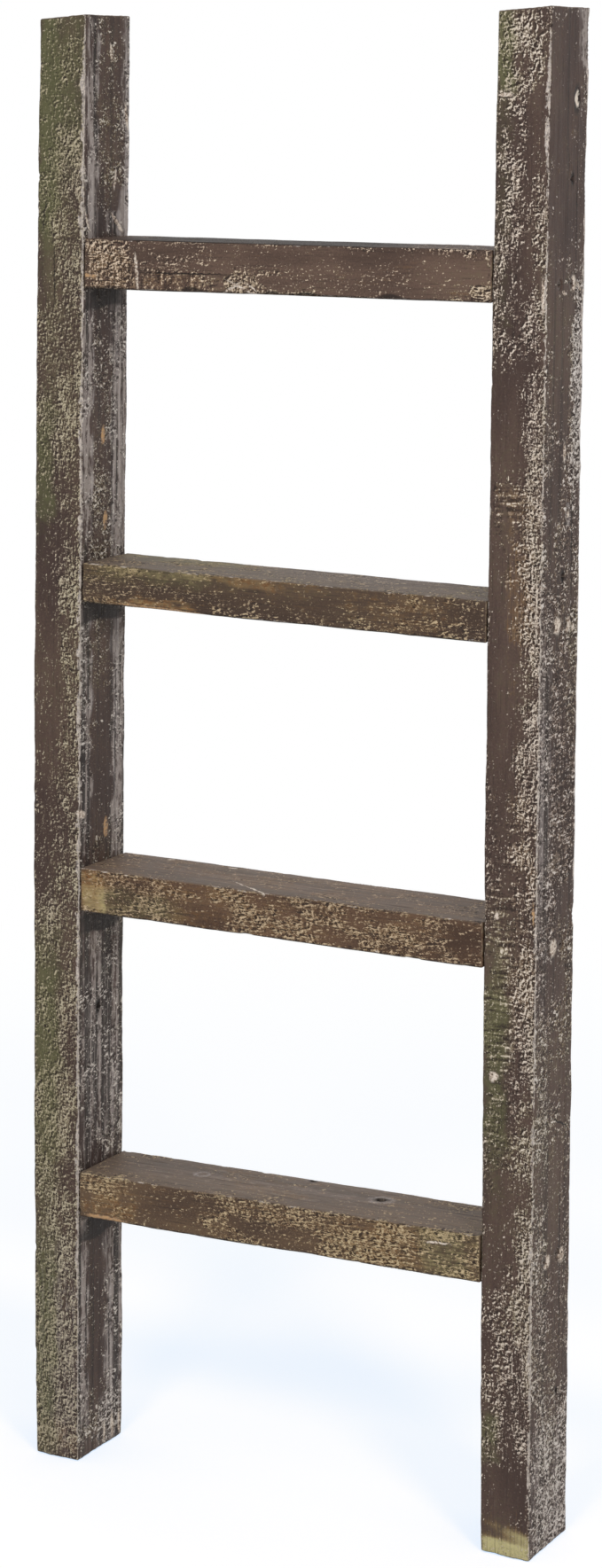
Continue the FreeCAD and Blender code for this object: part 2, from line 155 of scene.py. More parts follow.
# %% A board that makes every node
class Board:
    """A node tree to build on; every node comes from its method node()."""

    def __init__(self, tree):
        self.tree = tree

    def node(self, kind, settings=None, inputs=None, output=0):
        new = self.tree.nodes.new(kind)
        for name, value in (settings or {}).items():
            setattr(new, name, value)
        for key, value in (inputs or {}).items():
            if isinstance(value, Wire):
                self.connect(value, new.inputs[key])
            else:
                new.inputs[key].default_value = value
        return Wire(self, new.outputs[output])

    def connect(self, wire, socket):
        self.tree.links.new(wire.socket, socket)

    def join(self, x, y, z):
        return self.node("ShaderNodeCombineXYZ", None, {0: x, 1: y, 2: z})

    def blend(self, share, first, second):
        """Mix two colours."""
        settings = {"data_type": "RGBA"}
        return self.node("ShaderNodeMix", settings, {0: share, 6: first, 7: second}, output=2)

    def lay(self, base, *layers):
        """Lay coats over a colour, one after another: each a mask and a colour."""
        for mask, tone in layers:
            base = self.blend(mask, base, tone)
        return base


print("boards are ready for shader trees and geometry trees")

# %% [markdown]
# ## The six timbers, read from the model
#
# Every timber is a long box with a rectangular section, only a little out of true: its long edges
# lean and bow, and its ends are sawn at an angle.  That makes one rule: four corners in the front
# view, a bow for each long edge, and a depth.  We read these from the packed model's own
# vertices, so the detailed timbers land exactly where the CAD timbers are.

# %% Measure a timber's corners and bows
def read_points(mesh):
    points = np.empty(len(mesh.vertices) * 3, dtype=np.float32)
    mesh.vertices.foreach_get("co", points)
    return points.reshape(-1, 3).astype(float)


class Timber:
    """A timber in its own straight frame: along its length, across its front face, and back.

    For a stile, along is up and across is to the right.  For a rung, along is to the right and
    across is up.  Depth is measured backwards from the front face.
    """

    def __init__(self, node, seed):
        self.node, self.seed = node, seed
        self.is_stile = node.endswith("stile")
        self.run, self.rise = (2, 0) if self.is_stile else (0, 2)
        points = read_points(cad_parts[node].data)
        self.front, back = float(points[:, 1].min()), float(points[:, 1].max())
        self.depth = back - self.front
        outline = points[points[:, 1] < self.front + 0.01 * MM]
        middle = (outline[:, self.rise].min() + outline[:, self.rise].max()) / 2
        is_low = outline[:, self.rise] < middle
        self.low, self.low_bow = self.edge(outline[is_low])
        self.high, self.high_bow = self.edge(outline[~is_low])
        self.length = max(end[self.run] for end in (self.low[1], self.high[1]))
        self.length -= min(end[self.run] for end in (self.low[0], self.high[0]))
        self.width = ((self.high[0] - self.low[0])[self.rise]
                      + (self.high[1] - self.low[1])[self.rise]) / 2

    def edge(self, outline):
        """The two ends of a long edge, in the front plane, and how far its middle bows."""
        outline = outline[np.argsort(outline[:, self.run])]
        ends = [Vector([float(part) for part in outline[pick]]) for pick in (0, -1)]
        half_way = (ends[0] + ends[1]) / 2
        seen = np.interp(half_way[self.run], outline[:, self.run], outline[:, self.rise])
        return ends, half_way[self.rise] - float(seen)

    def straighten(self, point):
        """Where a point of the real timber lies in its own straight frame."""
        across = 0.5
        for _ in range(3):
            first, last = (self.low[end].lerp(self.high[end], across) for end in (0, 1))
            share = (point[self.run] - first[self.run]) / (last[self.run] - first[self.run])
            sag = 1 - (2 * share - 1) ** 2
            low = self.low[0].lerp(self.low[1], share)[self.rise] - self.low_bow * sag
            high = self.high[0].lerp(self.high[1], share)[self.rise] - self.high_bow * sag
            across = (point[self.rise] - low) / (high - low)
        return share * self.length, across * self.width, point[1] - self.front


TIMBERS = [Timber(node, seed) for seed, node in enumerate(
    ("left_stile", "right_stile", "top_rung", "upper_rung", "lower_rung", "bottom_rung"), start=1)]
for timber in TIMBERS:
    print(f"{timber.node}: {timber.length / MM:.0f} x {timber.width / MM:.0f} mm, "
          f"bows {timber.low_bow / MM:.1f} and {timber.high_bow / MM:.1f} mm")

# %% [markdown]
# ## Marks read off the photograph
#
# The wear isn't even: here it is rubbed to raw wood, there the paint is whole.  Each row below is
# a box of pixels in the photograph, then kinds of wear and how strong each is; a negative
# strength means that this wear is missing there.  Edge is the wear of the long arrises, saw the
# marks of the saw, fine and flakes the small and the large curls of paint.  The darkening kind is
# painted shade and grime: painted shade under the rungs on the left stile's inner face and along
# the top rung's lower arris, and a darker top on the top rung.

# %% List the marks of each visible face
# timber and face, then rows of left, top, right and bottom in pixels: kinds of wear and strengths
# the darkening rows paint shade under each rung on the left stile and along the top rung's lower
# arris
MARK_ROWS = """
left_stile front
44 15 62 260: green 1
44 15 98 200: green 0.5
44 15 64 260: flakes -0.2
44 15 98 545: green 0.18
70 20 99 265: flakes 0.3
44 15 99 265: fine 0.45
38 265 64 335: flakes -0.5, fine -0.4
62 265 96 545: fine 0.55
38 355 64 545: fine 0.4, flakes -0.2
38 465 60 595: green 0.7
38 545 66 960: flakes -0.5
38 560 62 730: fine -0.4
38 740 62 940: fine -0.25
66 545 92 960: fine 0.25
60 640 92 700: flakes 0.35
70 700 92 960: flakes 0.1
38 1000 92 1060: fine 0.4
38 1060 92 1340: fine 0.5
38 1000 92 1340: flakes 0.15
38 1055 66 1310: green 0.8
38 1400 62 1645: green 0.75
38 1340 90 1645: fine 0.45
38 1400 90 1645: flakes 0.25, grey 0.35
38 1600 90 1645: raw 0.35
90 10 102 300: edge 0.5
82 300 100 1645: edge 0.42
left_stile high
97 324 142 346: dirt 0.9
92 676 142 700: dirt 0.9
90 1024 140 1050: dirt 0.9
88 1369 138 1394: dirt 0.9
97 15 110 280: grey 0.8
136 15 150 265: grey 0.6
110 20 136 240: grey -0.3
104 720 126 950: grey -0.35, fine -0.2, flakes -0.3
100 1410 120 1570: grey -0.3, flakes -0.2
112 15 132 280: flakes -0.3
120 235 146 265: grey 0.9
122 50 132 68: flakes 0.8
136 118 148 146: flakes 0.7
124 188 146 216: flakes 0.5
92 330 104 620: grey 0.8
126 330 143 620: grey 0.9
90 690 104 960: grey 0.8
126 690 143 960: grey 0.8
90 1040 140 1300: grey 0.7
88 1380 100 1620: grey 0.7
118 1380 140 1620: grey 0.7
112 1590 140 1625: raw 0.5
108 1575 140 1630: grey 0.5, flakes 0.5
104 310 126 620: fine 0.2
100 380 140 620: flakes 0.1
right_stile front
560 5 580 105: green 0.9
560 5 622 105: flakes 0.6
556 110 590 260: flakes 0.35
590 108 620 182: flakes -0.6
590 100 620 185: fine -0.4
588 190 612 268: flakes 0.45
556 265 614 400: flakes 0.34
556 110 575 400: green 0.35
552 405 590 540: flakes -0.5, fine -0.6
590 420 612 620: fine 0.6
550 550 592 610: saw 1, flakes 0.85, raw 0.3
592 500 610 760: flakes 0.36
575 890 604 1160: raw 0.25
570 600 600 760: raw 0.35
548 620 586 940: flakes -0.5
548 620 584 940: fine -0.6
575 600 608 760: flakes 0.25
584 740 608 900: fine 0.45
588 740 606 900: flakes 0.2
546 940 580 1330: saw 0.85, flakes 0.48
575 890 604 1200: flakes 0.55
575 1200 604 1330: flakes 0.25
545 1105 570 1320: green 0.7
543 1325 584 1395: flakes -0.6, fine -0.5
580 1200 604 1700: fine 0.45
560 1400 602 1640: flakes 0.3
541 1590 560 1640: green 0.6
541 1655 592 1728: flakes -0.6, fine -0.7
538 1728 602 1768: raw 1.1, green 0.6
538 1730 602 1768: flakes -0.4
612 55 622 190: edge 0.65
600 400 616 1705: edge 0.28
606 300 618 360: edge 0.4
594 1425 606 1705: edge 0.25
right_stile high
622 5 656 320: flakes -0.6
622 5 652 300: fine -0.8
655 4 668 75: grey 0.9
656 4 668 75: edge 1.1
658 75 668 330: edge 0.5
646 340 662 540: edge 0.7, grey 0.6
640 540 660 1100: edge 0.35
606 400 620 1085: fine 0.25
606 700 622 1085: grey 0.4
618 380 646 700: grey -0.25
606 520 618 700: flakes 0.3
622 340 644 520: flakes -0.3
622 330 644 500: fine -0.6
644 335 662 535: flakes 0.8, fine 0.6
632 316 660 330: flakes 0.6
618 500 656 735: fine -0.1
606 690 656 730: flakes 0.2
606 735 654 1085: flakes 0.35, fine 0.1, saw 0.5
604 1100 618 1560: fine 0.45
640 1100 656 1560: fine 0.35
618 1100 640 1560: grey -0.25
618 1290 640 1560: flakes -0.3
600 1600 642 1762: flakes 0.4, grey 0.5
600 1580 642 1762: fine 0.5
640 1600 650 1760: edge 0.4
top_rung front
93 268 156 332: flakes 1
93 268 150 332: raw 0.25
93 268 160 332: fine 0.4
93 285 160 332: saw 0.45
165 284 205 300: flakes 0.45
155 311 232 334: saw 1, flakes 0.9
155 311 232 336: raw 0.2
250 310 295 338: flakes 0.9
295 330 400 343: flakes 0.6
235 312 250 338: flakes -0.3
390 272 485 284: flakes 0.5
546 280 556 345: flakes 0.8
526 324 556 347: flakes 0.7
205 272 390 306: flakes -0.2
400 285 520 340: flakes -0.4
300 300 520 328: flakes -0.2
205 272 520 300: fine -0.2
93 332 556 346: dirt 1
93 268 556 275: dirt 0.45
upper_rung front
92 632 260 660: green 0.35
92 632 330 658: raw 0.45
92 634 235 694: fine 0.3
120 676 230 696: raw 0.6
120 676 230 694: flakes 0.35
238 688 278 702: flakes 0.6
405 664 515 718: fine 0.04, raw 0.25
415 690 510 712: fine 0.1
260 640 330 660: fine 0.4
260 645 400 686: flakes -0.6
245 645 400 684: fine -0.3
490 706 548 730: flakes 0.3
150 655 235 676: flakes -0.3
lower_rung front
91 980 118 1030: raw 0.5
91 1004 205 1040: green 0.4, raw 0.3
91 980 200 1040: fine 0.5
91 1014 205 1040: flakes 0.25
200 1025 242 1052: flakes -0.6, fine -0.4
130 985 270 1012: raw 0.25
240 995 500 1085: flakes 0.3
240 990 500 1085: raw 0.28
240 990 515 1085: fine 0.4
515 1015 546 1095: flakes -0.3
bottom_rung front
90 1322 146 1378: raw 0.34, fine 0.45, flakes 0.3
90 1352 146 1380: raw 0.2
140 1330 216 1385: flakes -0.6
140 1330 210 1385: fine -0.2
220 1345 540 1445: flakes 0.25, fine 0.4, raw 0.25
465 1378 542 1450: green 0.4
400 1370 542 1450: raw 0.3, flakes 0.4
top_rung top
93 255 556 285: dirt 1, edge -0.4, grey -0.3
upper_rung top
100 620 340 640: green 0.45, raw 0.4
300 620 545 660: grey 0.4
150 620 545 660: fine 0.1
lower_rung top
100 958 540 1010: grey 0.35, raw 0.25, fine -0.25, flakes -0.3
250 975 400 990: fine 0.5
bottom_rung top
100 1296 538 1356: grey 0.35, fine -0.25, flakes -0.3, raw 0.22
"""
# the darkening kind is painted shade and grime
KINDS = ("flakes", "fine", "saw", "green", "raw", "grey", "edge", "dirt")


def read_marks(rows):
    """The marks by timber and face, each as a box, a kind of wear and a strength."""
    marks = {}
    for row in rows.strip().splitlines():
        place, _, wear = row.partition(":")
        if not wear:
            face_marks = marks[tuple(place.split())] = []
            continue
        box = [int(edge) for edge in place.split()]
        for entry in wear.split(","):
            kind, strength = entry.split()
            face_marks.append((box, kind, float(strength)))
    return marks


MARKS = read_marks(MARK_ROWS)
print("marks:", sum(len(marks) for marks in MARKS.values()), "on", len(MARKS), "faces")

# %% [markdown]
# ## From a pixel to a place on the timber
#
# A ray from the camera through the pixel meets the timber's face at one real place, so the mark
# stays put when the ladder is seen from another side.

# %% Shoot a ray through a pixel on to a face
def on_face(timber, face, u, v):
    """The point of a timber's face that lies under a pixel of the photograph."""
    ray = camera.matrix_world.to_3x3() @ Vector(
        ((u - CENTRE_U) / FOCAL_PX, (CENTRE_V - v) / FOCAL_PX, -1.0))
    if face == "front":
        axis, place = 1, timber.front
    else:
        axis = timber.rise
        place = (timber.high[0] + timber.high[1])[axis] / 2 - timber.high_bow
    reach = (place - CAMERA_PLACE[axis]) / ray[axis]
    return timber.straighten(CAMERA_PLACE + reach * ray)


def mark_area(timber, face, box):
    """Centre and half sizes of a marked box, along the timber and across the face."""
    left, top, right, bottom = box
    u, v = (left + right) / 2, (top + bottom) / 2
    side = 1 if face == "front" else 2
    ends = ((left, v), (right, v)), ((u, top), (u, bottom))
    if not timber.is_stile:
        ends = ends[::-1]
    across = [on_face(timber, face, *pixel)[side] for pixel in ends[0]]
    along = [on_face(timber, face, *pixel)[0] for pixel in ends[1]]
    return ((sum(along) / 2, abs(along[1] - along[0]) / 2),
            (sum(across) / 2, abs(across[1] - across[0]) / 2))


foot = on_face(TIMBERS[1], "front", 570, 1740)
print(f"pixel 570, 1740 lies {foot[0] / MM:.0f} mm up the right stile")

# %% [markdown]
# ## Single marks
#
# Some marks are single things with a place of their own: a drying crack, a pale scratch, a
# knot, a nail hole.  Each is one stretched ellipse, from one end to the other, and a width.  The
# same list serves the shader, which colours them, and the mesh, which sinks the deep ones.

# %% List the cracks, scratches, knots and holes
# timber, then rows: face, one end and other end in pixels, width in millimetres, kind
SPOT_ROWS = """
left_stile
front 52 224 47 264 1.4 crack
front 61 275 61 352 1 crack
high 123 50 125 70 5 pale
high 140 118 143 146 4 pale
high 130 190 128 214 3 pale
high 124 240 138 262 4 pale
high 95 238 101 262 3 pale
high 117 480 116 500 6 orange
high 119 576 119 596 6 orange
high 120 922 120 944 7 orange
high 88 918 97 920 7 pale
high 112 1126 112 1144 7 hole
high 128 330 126 620 1.3 crack
high 131 700 130 950 1.2 crack
high 103 1050 100 1300 1.2 crack
high 107 1380 104 1600 1 crack
high 126 1040 124 1290 1 crack
high 126 1594 127 1622 5 pale
high 134 1590 134 1616 4 pale
high 118 1602 118 1628 3 pale
right_stile
front 560 107 577 107 3 pale
front 560 1030 560 1038 4 pale
front 553 1215 558 1215 8 pale
front 601 1020 601 1045 1.6 orange
front 612 315 612 356 2.4 pale
front 605 655 604 722 1.8 pale
high 650 99 650 124 9 knot
high 645 194 645 210 5 hole
high 646 313 647 327 12 pale
high 651 318 655 328 3 pale
high 634 329 639 332 3 pale
high 637 500 637 521 6 pale
high 641 570 641 590 8 ring
high 641 577 641 584 4 pale
high 635 643 635 657 5 hole
high 646 525 644 700 2 crack
high 632 1300 630 1560 1.6 crack
high 622 1261 642 1271 1.8 crack
high 629 700 629 713 13 pale
high 641 698 641 711 12 pale
high 647 704 647 711 6 pale
high 625 1063 625 1076 13 pale
high 617 1418 617 1430 12 pale
high 633 1409 633 1423 12 pale
high 627 1563 627 1573 4 hole
high 641 30 639 330 1 crack
high 651 130 649 330 1.2 crack
top_rung
front 148 308 266 310 1.3 crack
front 152 286 155 330 2.4 pale
front 255 316 292 336 2 pale
front 252 330 272 318 1.8 pale
front 275 318 290 330 1.6 pale
front 93 310 108 312 3 orange
upper_rung
top 278 637 332 641 2 pale
front 130 682 226 694 3.5 orange
lower_rung
top 264 994 302 1009 2.2 pale
top 189 970 198 970 5 pale
top 258 979 268 980 5 pale
bottom_rung
top 424 1354 436 1356 8 hole
top 418 1353 442 1357 15 ring
top 222 1321 234 1323 12 ring
top 350 1331 359 1332 6 hole
front 480 1401 506 1404 2 pale
front 98 1371 142 1380 5 orange
"""


def read_spots(rows):
    """The single marks by timber, each as a face, two ends, a width and a kind."""
    spots = {}
    for row in rows.strip().splitlines():
        face, *numbers = row.split()
        if not numbers:
            timber_spots = spots[face] = []
            continue
        *pixels, width = map(float, numbers[:5])
        timber_spots.append((face, pixels[:2], pixels[2:], width, numbers[5]))
    return spots


SPOTS = read_spots(SPOT_ROWS)
print("single marks:", sum(len(spots) for spots in SPOTS.values()))

# %% Measure a single mark on its timber
SPOT_REACH = 4 * MM                     # how far a mark reaches into the timber


def spot_axes(timber, spot):
    """Centre of a spot, and three vectors that measure it: along, across and off its face."""
    face, first, last, width, _ = spot
    ends = [Vector(on_face(timber, face, *pixel)) for pixel in (first, last)]
    centre = (ends[0] + ends[1]) / 2
    run = ends[1] - ends[0]
    off = Vector((0, 0, 1)) if face == "front" else Vector((0, 1, 0))
    centre -= off * centre.dot(off)
    if face != "front":
        centre += off * timber.width
    run -= off * run.dot(off)
    half = max(run.length / 2, width * MM / 2)
    lengthways = run.normalized() if run.length > 1 * MM else Vector((1, 0, 0))
    sideways = off.cross(lengthways)
    return centre, lengthways / half, sideways / (width * MM / 2), off / SPOT_REACH


crack_axis = spot_axes(TIMBERS[0], SPOTS["left_stile"][0])[1]
print(f"the first crack is {2 / crack_axis.length / MM:.0f} mm long")

# %% [markdown]
# ## Geometry trees
#
# What follows a rule is made by Geometry Nodes.  Two helpers serve both of our trees: one makes a
# tree with named inputs, and one puts a mesh through a tree and keeps the plain result.  An input
# is set by its socket's identifier, before the object is evaluated for the first time.

# %% Make a geometry tree, and run one
def geometry_tree(name, sizes):
    """A geometry tree with named inputs: (board, inputs by name, the output's socket)."""
    tree = bpy.data.node_groups.new(name, "GeometryNodeTree")
    tree.interface.new_socket("Timber", in_out="INPUT", socket_type="NodeSocketGeometry")
    tree.interface.new_socket("Timber", in_out="OUTPUT", socket_type="NodeSocketGeometry")
    for size, kind in sizes.items():
        tree.interface.new_socket(size, in_out="INPUT", socket_type="NodeSocket" + kind)
    board = Board(tree)
    entry = tree.nodes.new("NodeGroupInput")
    wires = {socket.name: Wire(board, socket) for socket in entry.outputs if socket.name}
    return board, wires, tree.nodes.new("NodeGroupOutput").inputs[0]


def run_tree(mesh, tree, values, name):
    """Put a mesh through a geometry tree and return the result as a plain mesh."""
    work = bpy.data.objects.new(name, mesh)
    scene.collection.objects.link(work)
    modifier = work.modifiers.new(name, "NODES")
    modifier.node_group = tree
    for item in tree.interface.items_tree:
        if item.in_out == "INPUT" and item.name in values:
            modifier[item.identifier] = values[item.name]
    bpy.context.view_layer.update()
    evaluated = work.evaluated_get(bpy.context.evaluated_depsgraph_get())
    result = bpy.data.meshes.new_from_object(evaluated)
    bpy.data.objects.remove(work)
    result.name = name
    return result


print("ready to build geometry trees")

# %% [markdown]
# ## A straight blank with enough points
#
# A box of eight corners can't show a chipped edge, so the blank is a grid about 1.5 mm fine.  A
# small geometry tree makes it: Mesh Cube takes the number of points along each side.

# %% Build the blank
STILE_PITCH, RUNG_PITCH = 1.78 * MM, 1.35 * MM


def blank_tree():
    board, wires, out = geometry_tree("Sawn blank", {
        "Size": "Vector", "Points along": "Int", "Points across": "Int", "Points deep": "Int"})
    cube = board.node("GeometryNodeMeshCube", None, {
        "Size": wires["Size"], "Vertices X": wires["Points along"],
        "Vertices Y": wires["Points across"], "Vertices Z": wires["Points deep"]})
    half = wires["Size"].vector("MULTIPLY", (0.5, 0.5, 0.5))
    moved = board.node("GeometryNodeTransform", None, {"Geometry": cube, "Translation": half})
    board.connect(board.node("GeometryNodeRealizeInstances", None, {"Geometry": moved}), out)
    return board.tree


BLANK = blank_tree()


def blank_mesh(timber):
    """The straight blank of a timber: along X, across Y and back along Z, from the origin."""
    pitch = STILE_PITCH if timber.is_stile else RUNG_PITCH
    size = (timber.length, timber.width, timber.depth)
    counts = [round(side / pitch) + 1 for side in size]
    start = bpy.data.meshes.new("start")
    return run_tree(start, BLANK, {
        "Size": size, "Points along": counts[0], "Points across": counts[1],
        "Points deep": counts[2]}, timber.node + "_blank")


print("sawn blank tree:", len(BLANK.nodes), "nodes")

# %% [markdown]
# ## Holes and chips
#
# A hole 9 mm across has only a few grid points inside it, so its rim would look like steps.  The
# points near the rim are slid on to two circles, one just inside and one just outside it; then
# the inner ones sink.  The screw holes are read from the packed screws, so they always meet.

# %% List the round holes
HEAD_CLEARANCE = 0.35 * MM              # all round a screw head
SCREW_SINK = 1.9 * MM                   # the heads lie 1.6 mm deep, so they show in the holes
HOLE_DEPTH, KNOT_DEPTH = 3.5 * MM, 1.2 * MM


def screw_places(timber):
    """(point on the outer face, head radius) of every screw that enters a stile."""
    if not timber.is_stile:
        return []
    side = timber.node.split("_")[0]
    face_x = timber.low[0].x if side == "left" else timber.high[0].x
    places = []
    for rung in ("top", "upper", "lower", "bottom"):
        low, high = (Vector(corner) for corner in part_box(f"{rung}_rung_{side}_screws"))
        radius = (high.z - low.z) / 2
        for y in (low.y + radius, high.y - radius):
            places.append((Vector((face_x, y, (low.z + high.z) / 2)), radius))
    return places


def hole_list(timber):
    """(face, position along, position across the face, radius, depth) of every round hole."""
    face = "low" if timber.node.startswith("left") else "high"
    holes = []
    for place, radius in screw_places(timber):
        along, _, deep = timber.straighten(place)
        holes.append((face, along, deep, radius + HEAD_CLEARANCE, SCREW_SINK))
    for spot in SPOTS[timber.node]:
        if spot[-1] in ("hole", "knot"):
            centre = spot_axes(timber, spot)[0]
            side = centre.y if spot[0] == "front" else centre.z
            depth = HOLE_DEPTH if spot[-1] == "hole" else KNOT_DEPTH
            face = "high" if spot[0] == "top" else spot[0]
            holes.append((face, centre.x, side, spot[3] * MM / 2, depth))
    return holes


print("holes:", sum(len(hole_list(timber)) for timber in TIMBERS))

# %% Sink the holes
RIM_INSIDE, RIM_OUTSIDE = 0.15 * MM, 0.1 * MM      # the two circles, measured from the rim
CATCH_INSIDE, CATCH_OUTSIDE = 1.3 * MM, 1.6 * MM   # points this near the rim are slid on to them


def sink_holes(points, faces, timber):
    """Slide points on to each hole's rim, and say how far every point sinks."""
    sink = np.zeros(len(points))
    for face, along, side, radius, depth in hole_list(timber):
        column = 1 if face == "front" else 2
        offset = points[:, [0, column]] - (along, side)
        distance = np.maximum(np.hypot(*offset.T), 1e-6)
        on_it = faces[face][0]
        inner = on_it & (distance < radius)
        outer = on_it & (distance >= radius) & (distance < radius + CATCH_OUTSIDE)
        just_inside = radius - RIM_INSIDE
        target = np.where(inner, np.minimum(distance, just_inside), distance)
        target = np.where(inner & (distance > radius - CATCH_INSIDE), just_inside, target)
        target = np.where(outer, radius + RIM_OUTSIDE, target)
        slid = offset * (target / distance)[:, None] + (along, side)
        caught = (inner | outer)[:, None]
        points[:, [0, column]] = np.where(caught, slid, points[:, [0, column]])
        sink[inner] = depth
    return sink


print(f"screw holes sink {SCREW_SINK / MM:.1f} mm, nail holes {HOLE_DEPTH / MM:.1f} mm")

# %% Chip the arrises
# timber: (face, which side of it, middle and length along the timber, depth), in millimetres
CHIPS = {
    "left_stile": [("high", "back", 812, 60, 2.4), ("low", "front", 1089, 9, 2.6),
                   ("high", "back", 1010, 70, 1.6), ("low", "back", 640, 120, 2.0)],
    "right_stile": [("high", "back", 1200, 46, 3.6), ("high", "back", 508, 17, 3.0),
                    ("high", "back", 1090, 60, 2.0), ("low", "back", 300, 80, 2.2),
                    ("high", "back", 820, 90, 1.6)],
    "top_rung": [("low", "back", 120, 70, 1.6)],
    "upper_rung": [("low", "front", 60, 80, 1.6)],
    "lower_rung": [("high", "back", 240, 60, 1.8)],
    "bottom_rung": [("low", "front", 300, 60, 1.4)],
}
CHIP_REACH = 9 * MM                     # a chip's two distances from the arris, added up
JAG_PITCH = 1900                        # radians in a metre, about one tooth in 3 mm


def chip_arrises(points, timber):
    """How much wider the worn arris is at each point."""
    along, across, deep = points.T
    chip = np.zeros(len(points))
    for face, side, middle, length, depth in CHIPS[timber.node]:
        away = np.abs(along - middle * MM) / (length * MM / 2)
        jag = 0.75 + 0.25 * np.sin(along * JAG_PITCH + middle)
        near = across if face == "low" else timber.width - across
        back = deep if side == "front" else timber.depth - deep
        chip += depth * MM * jag * (away < 1) * (1 - away ** 4) * (near + back < CHIP_REACH)
    return chip


print("chips:", sum(len(chips) for chips in CHIPS.values()))

# %% [markdown]
# ## Wear as numbers on the points
#
# Wide patches change slowly, so they can live on the points of the mesh as attributes, one for
# each kind of wear.  The fine pattern inside a patch comes later, from noise in the material.
# Faces that the photograph doesn't show get broad patches of their own, from slow waves.

# %% Soft patches with wandering sides
USUAL_WEAR = {                          # where nothing else is marked: (stiles, rungs)
    "flakes": (0.25, 0.06), "fine": (0.28, 0.14), "saw": (0.15, 0.10), "green": (0.12, 0.08),
    "raw": (0.05, 0.12), "grey": (0.25, 0.12), "edge": (0.42, 0.42), "dirt": (0.0, 0.0),
}
SMALLEST_PATCH = 3 * MM
UNSEEN_STRENGTH = 0.45


def face_masks(points, size):
    """Which points lie on each face of a blank, and the position across that face."""
    along, across, deep = points.T
    near = 1e-5
    return {
        "front": (deep < near, across), "back": (deep > size[2] - near, across),
        "low": (across < near, deep), "high": (across > size[1] - near, deep),
    }


def soft_box(place, middle, half):
    """1 inside a stretch, falling off smoothly around its ends."""
    distance = np.abs(place - middle) / max(half, SMALLEST_PATCH)
    return 1.0 / (1.0 + distance ** 5)


def wandering(points, seed):
    """Positions along, and a push across, by slow waves, so that no patch has straight sides."""
    along, across, deep = points.T
    push = np.sin(along * 71 + across * 160 + seed) + np.sin(along * 173 - deep * 140 + 2 * seed)
    shove = np.sin(along * 113 + deep * 90 + 3 * seed) + np.sin(along * 311 + across * 70 + seed)
    return along + 4 * MM * shove, push * 1.8 * MM


def unseen_patches(points, on_it, wear, seed):
    """Broad patches for a face that the photograph doesn't show."""
    along, across, deep = points.T
    for number, kind in enumerate(("flakes", "fine", "grey", "green", "raw")):
        wave = np.sin(along * (9 + 4 * number) + seed * (number + 1.3) + (across + deep) * 20)
        wave = wave * np.sin(along * (23 - 3 * number) + seed * 2.1 - (across + deep) * 31)
        wear[kind] += UNSEEN_STRENGTH * wave * on_it


print("usual wear of a stile:", {kind: usual[0] for kind, usual in USUAL_WEAR.items()})

# %% Write the wear on to a blank
def write_wear(mesh, timber):
    """Give a blank one attribute for each kind of wear, and for its holes and chips."""
    points = read_points(mesh)
    faces = face_masks(points, (timber.length, timber.width, timber.depth))
    column = 0 if timber.is_stile else 1
    wear = {kind: np.full(len(points), USUAL_WEAR[kind][column]) for kind in KINDS}
    along, sway = wandering(points, timber.seed)
    for face in ("back", "low"):
        unseen_patches(points, faces[face][0], wear, timber.seed)
    for (node, face), marks in MARKS.items():
        if node != timber.node:
            continue
        on_it, across = faces["high" if face == "top" else face]
        for box, kind, strength in marks:
            (middle, half), (centre, reach) = mark_area(timber, face, box)
            mask = soft_box(along, middle, half) * soft_box(across + sway, centre, reach)
            wear[kind] += strength * mask * on_it
    wear["sink"], wear["chip"] = sink_holes(points, faces, timber), chip_arrises(points, timber)
    mesh.vertices.foreach_set("co", points.astype(np.float32).ravel())
    for kind, values in wear.items():
        layer = mesh.attributes.new(kind, "FLOAT", "POINT")
        layer.data.foreach_set("value", np.clip(values, -0.6, 1.0).astype(np.float32))


print("attributes on each timber:", ", ".join(KINDS), "and sink, chip")

# %% [markdown]
# ## Weathering the blank
#
# The second geometry tree does what years of weather did.  It rounds the arrises by a
# radius that wanders along the timber, sinks the soft grain, lets the faces waver a little, and
# then leans and bows the straight blank into its true place.  It only ever takes wood away, so
# the timber never leaves the box of the CAD solid.

# %% Wear the surface down
NOISE_CHIP = 3 * MM                     # the deepest chip that the noise alone makes
FLAKE_DEPTH = 0.3 * MM                  # wood is lower where the paint has flaked off


def worn_surface(board, wires, place):
    """Where each point lies once the arrises are rounded and the soft grain has sunk."""
    def attribute(name):
        return board.node("GeometryNodeInputNamedAttribute", {"data_type": "FLOAT"},
                          {"Name": name})

    def alike(wire):
        return board.join(wire, wire, wire)

    seeded = place.vector("ADD", alike(wires["Seed"]))
    chips = seeded.noise(55.0, 2.0).step(0.60, 0.78) * NOISE_CHIP
    wander = seeded.noise(22.0, 4.0, 0.6).step(0.35, 0.75, 0.5, 2.0)
    radius = wires["Arris"] * wander + chips + attribute("chip")
    grain = seeded.stretched(0.06).noise(260.0, 3.0, 0.6).step(0.3, 0.7)
    waver = seeded.stretched(0.35).noise(30.0, 2.0)
    depth = (grain * wires["Grain depth"] + waver * wires["Waver"]
             + attribute("flakes") * FLAKE_DEPTH + attribute("sink"))

    rim = alike(radius)
    inside = wires["Size"].vector("SUBTRACT", rim)
    core = place.vector("MAXIMUM", rim).vector("MINIMUM", inside)
    outward = place.vector("SUBTRACT", core).vector("NORMALIZE")
    return core.vector("ADD", outward.vector("MULTIPLY", alike(radius - depth)))


print(f"flaked wood lies {FLAKE_DEPTH / MM:.1f} mm lower than painted wood")

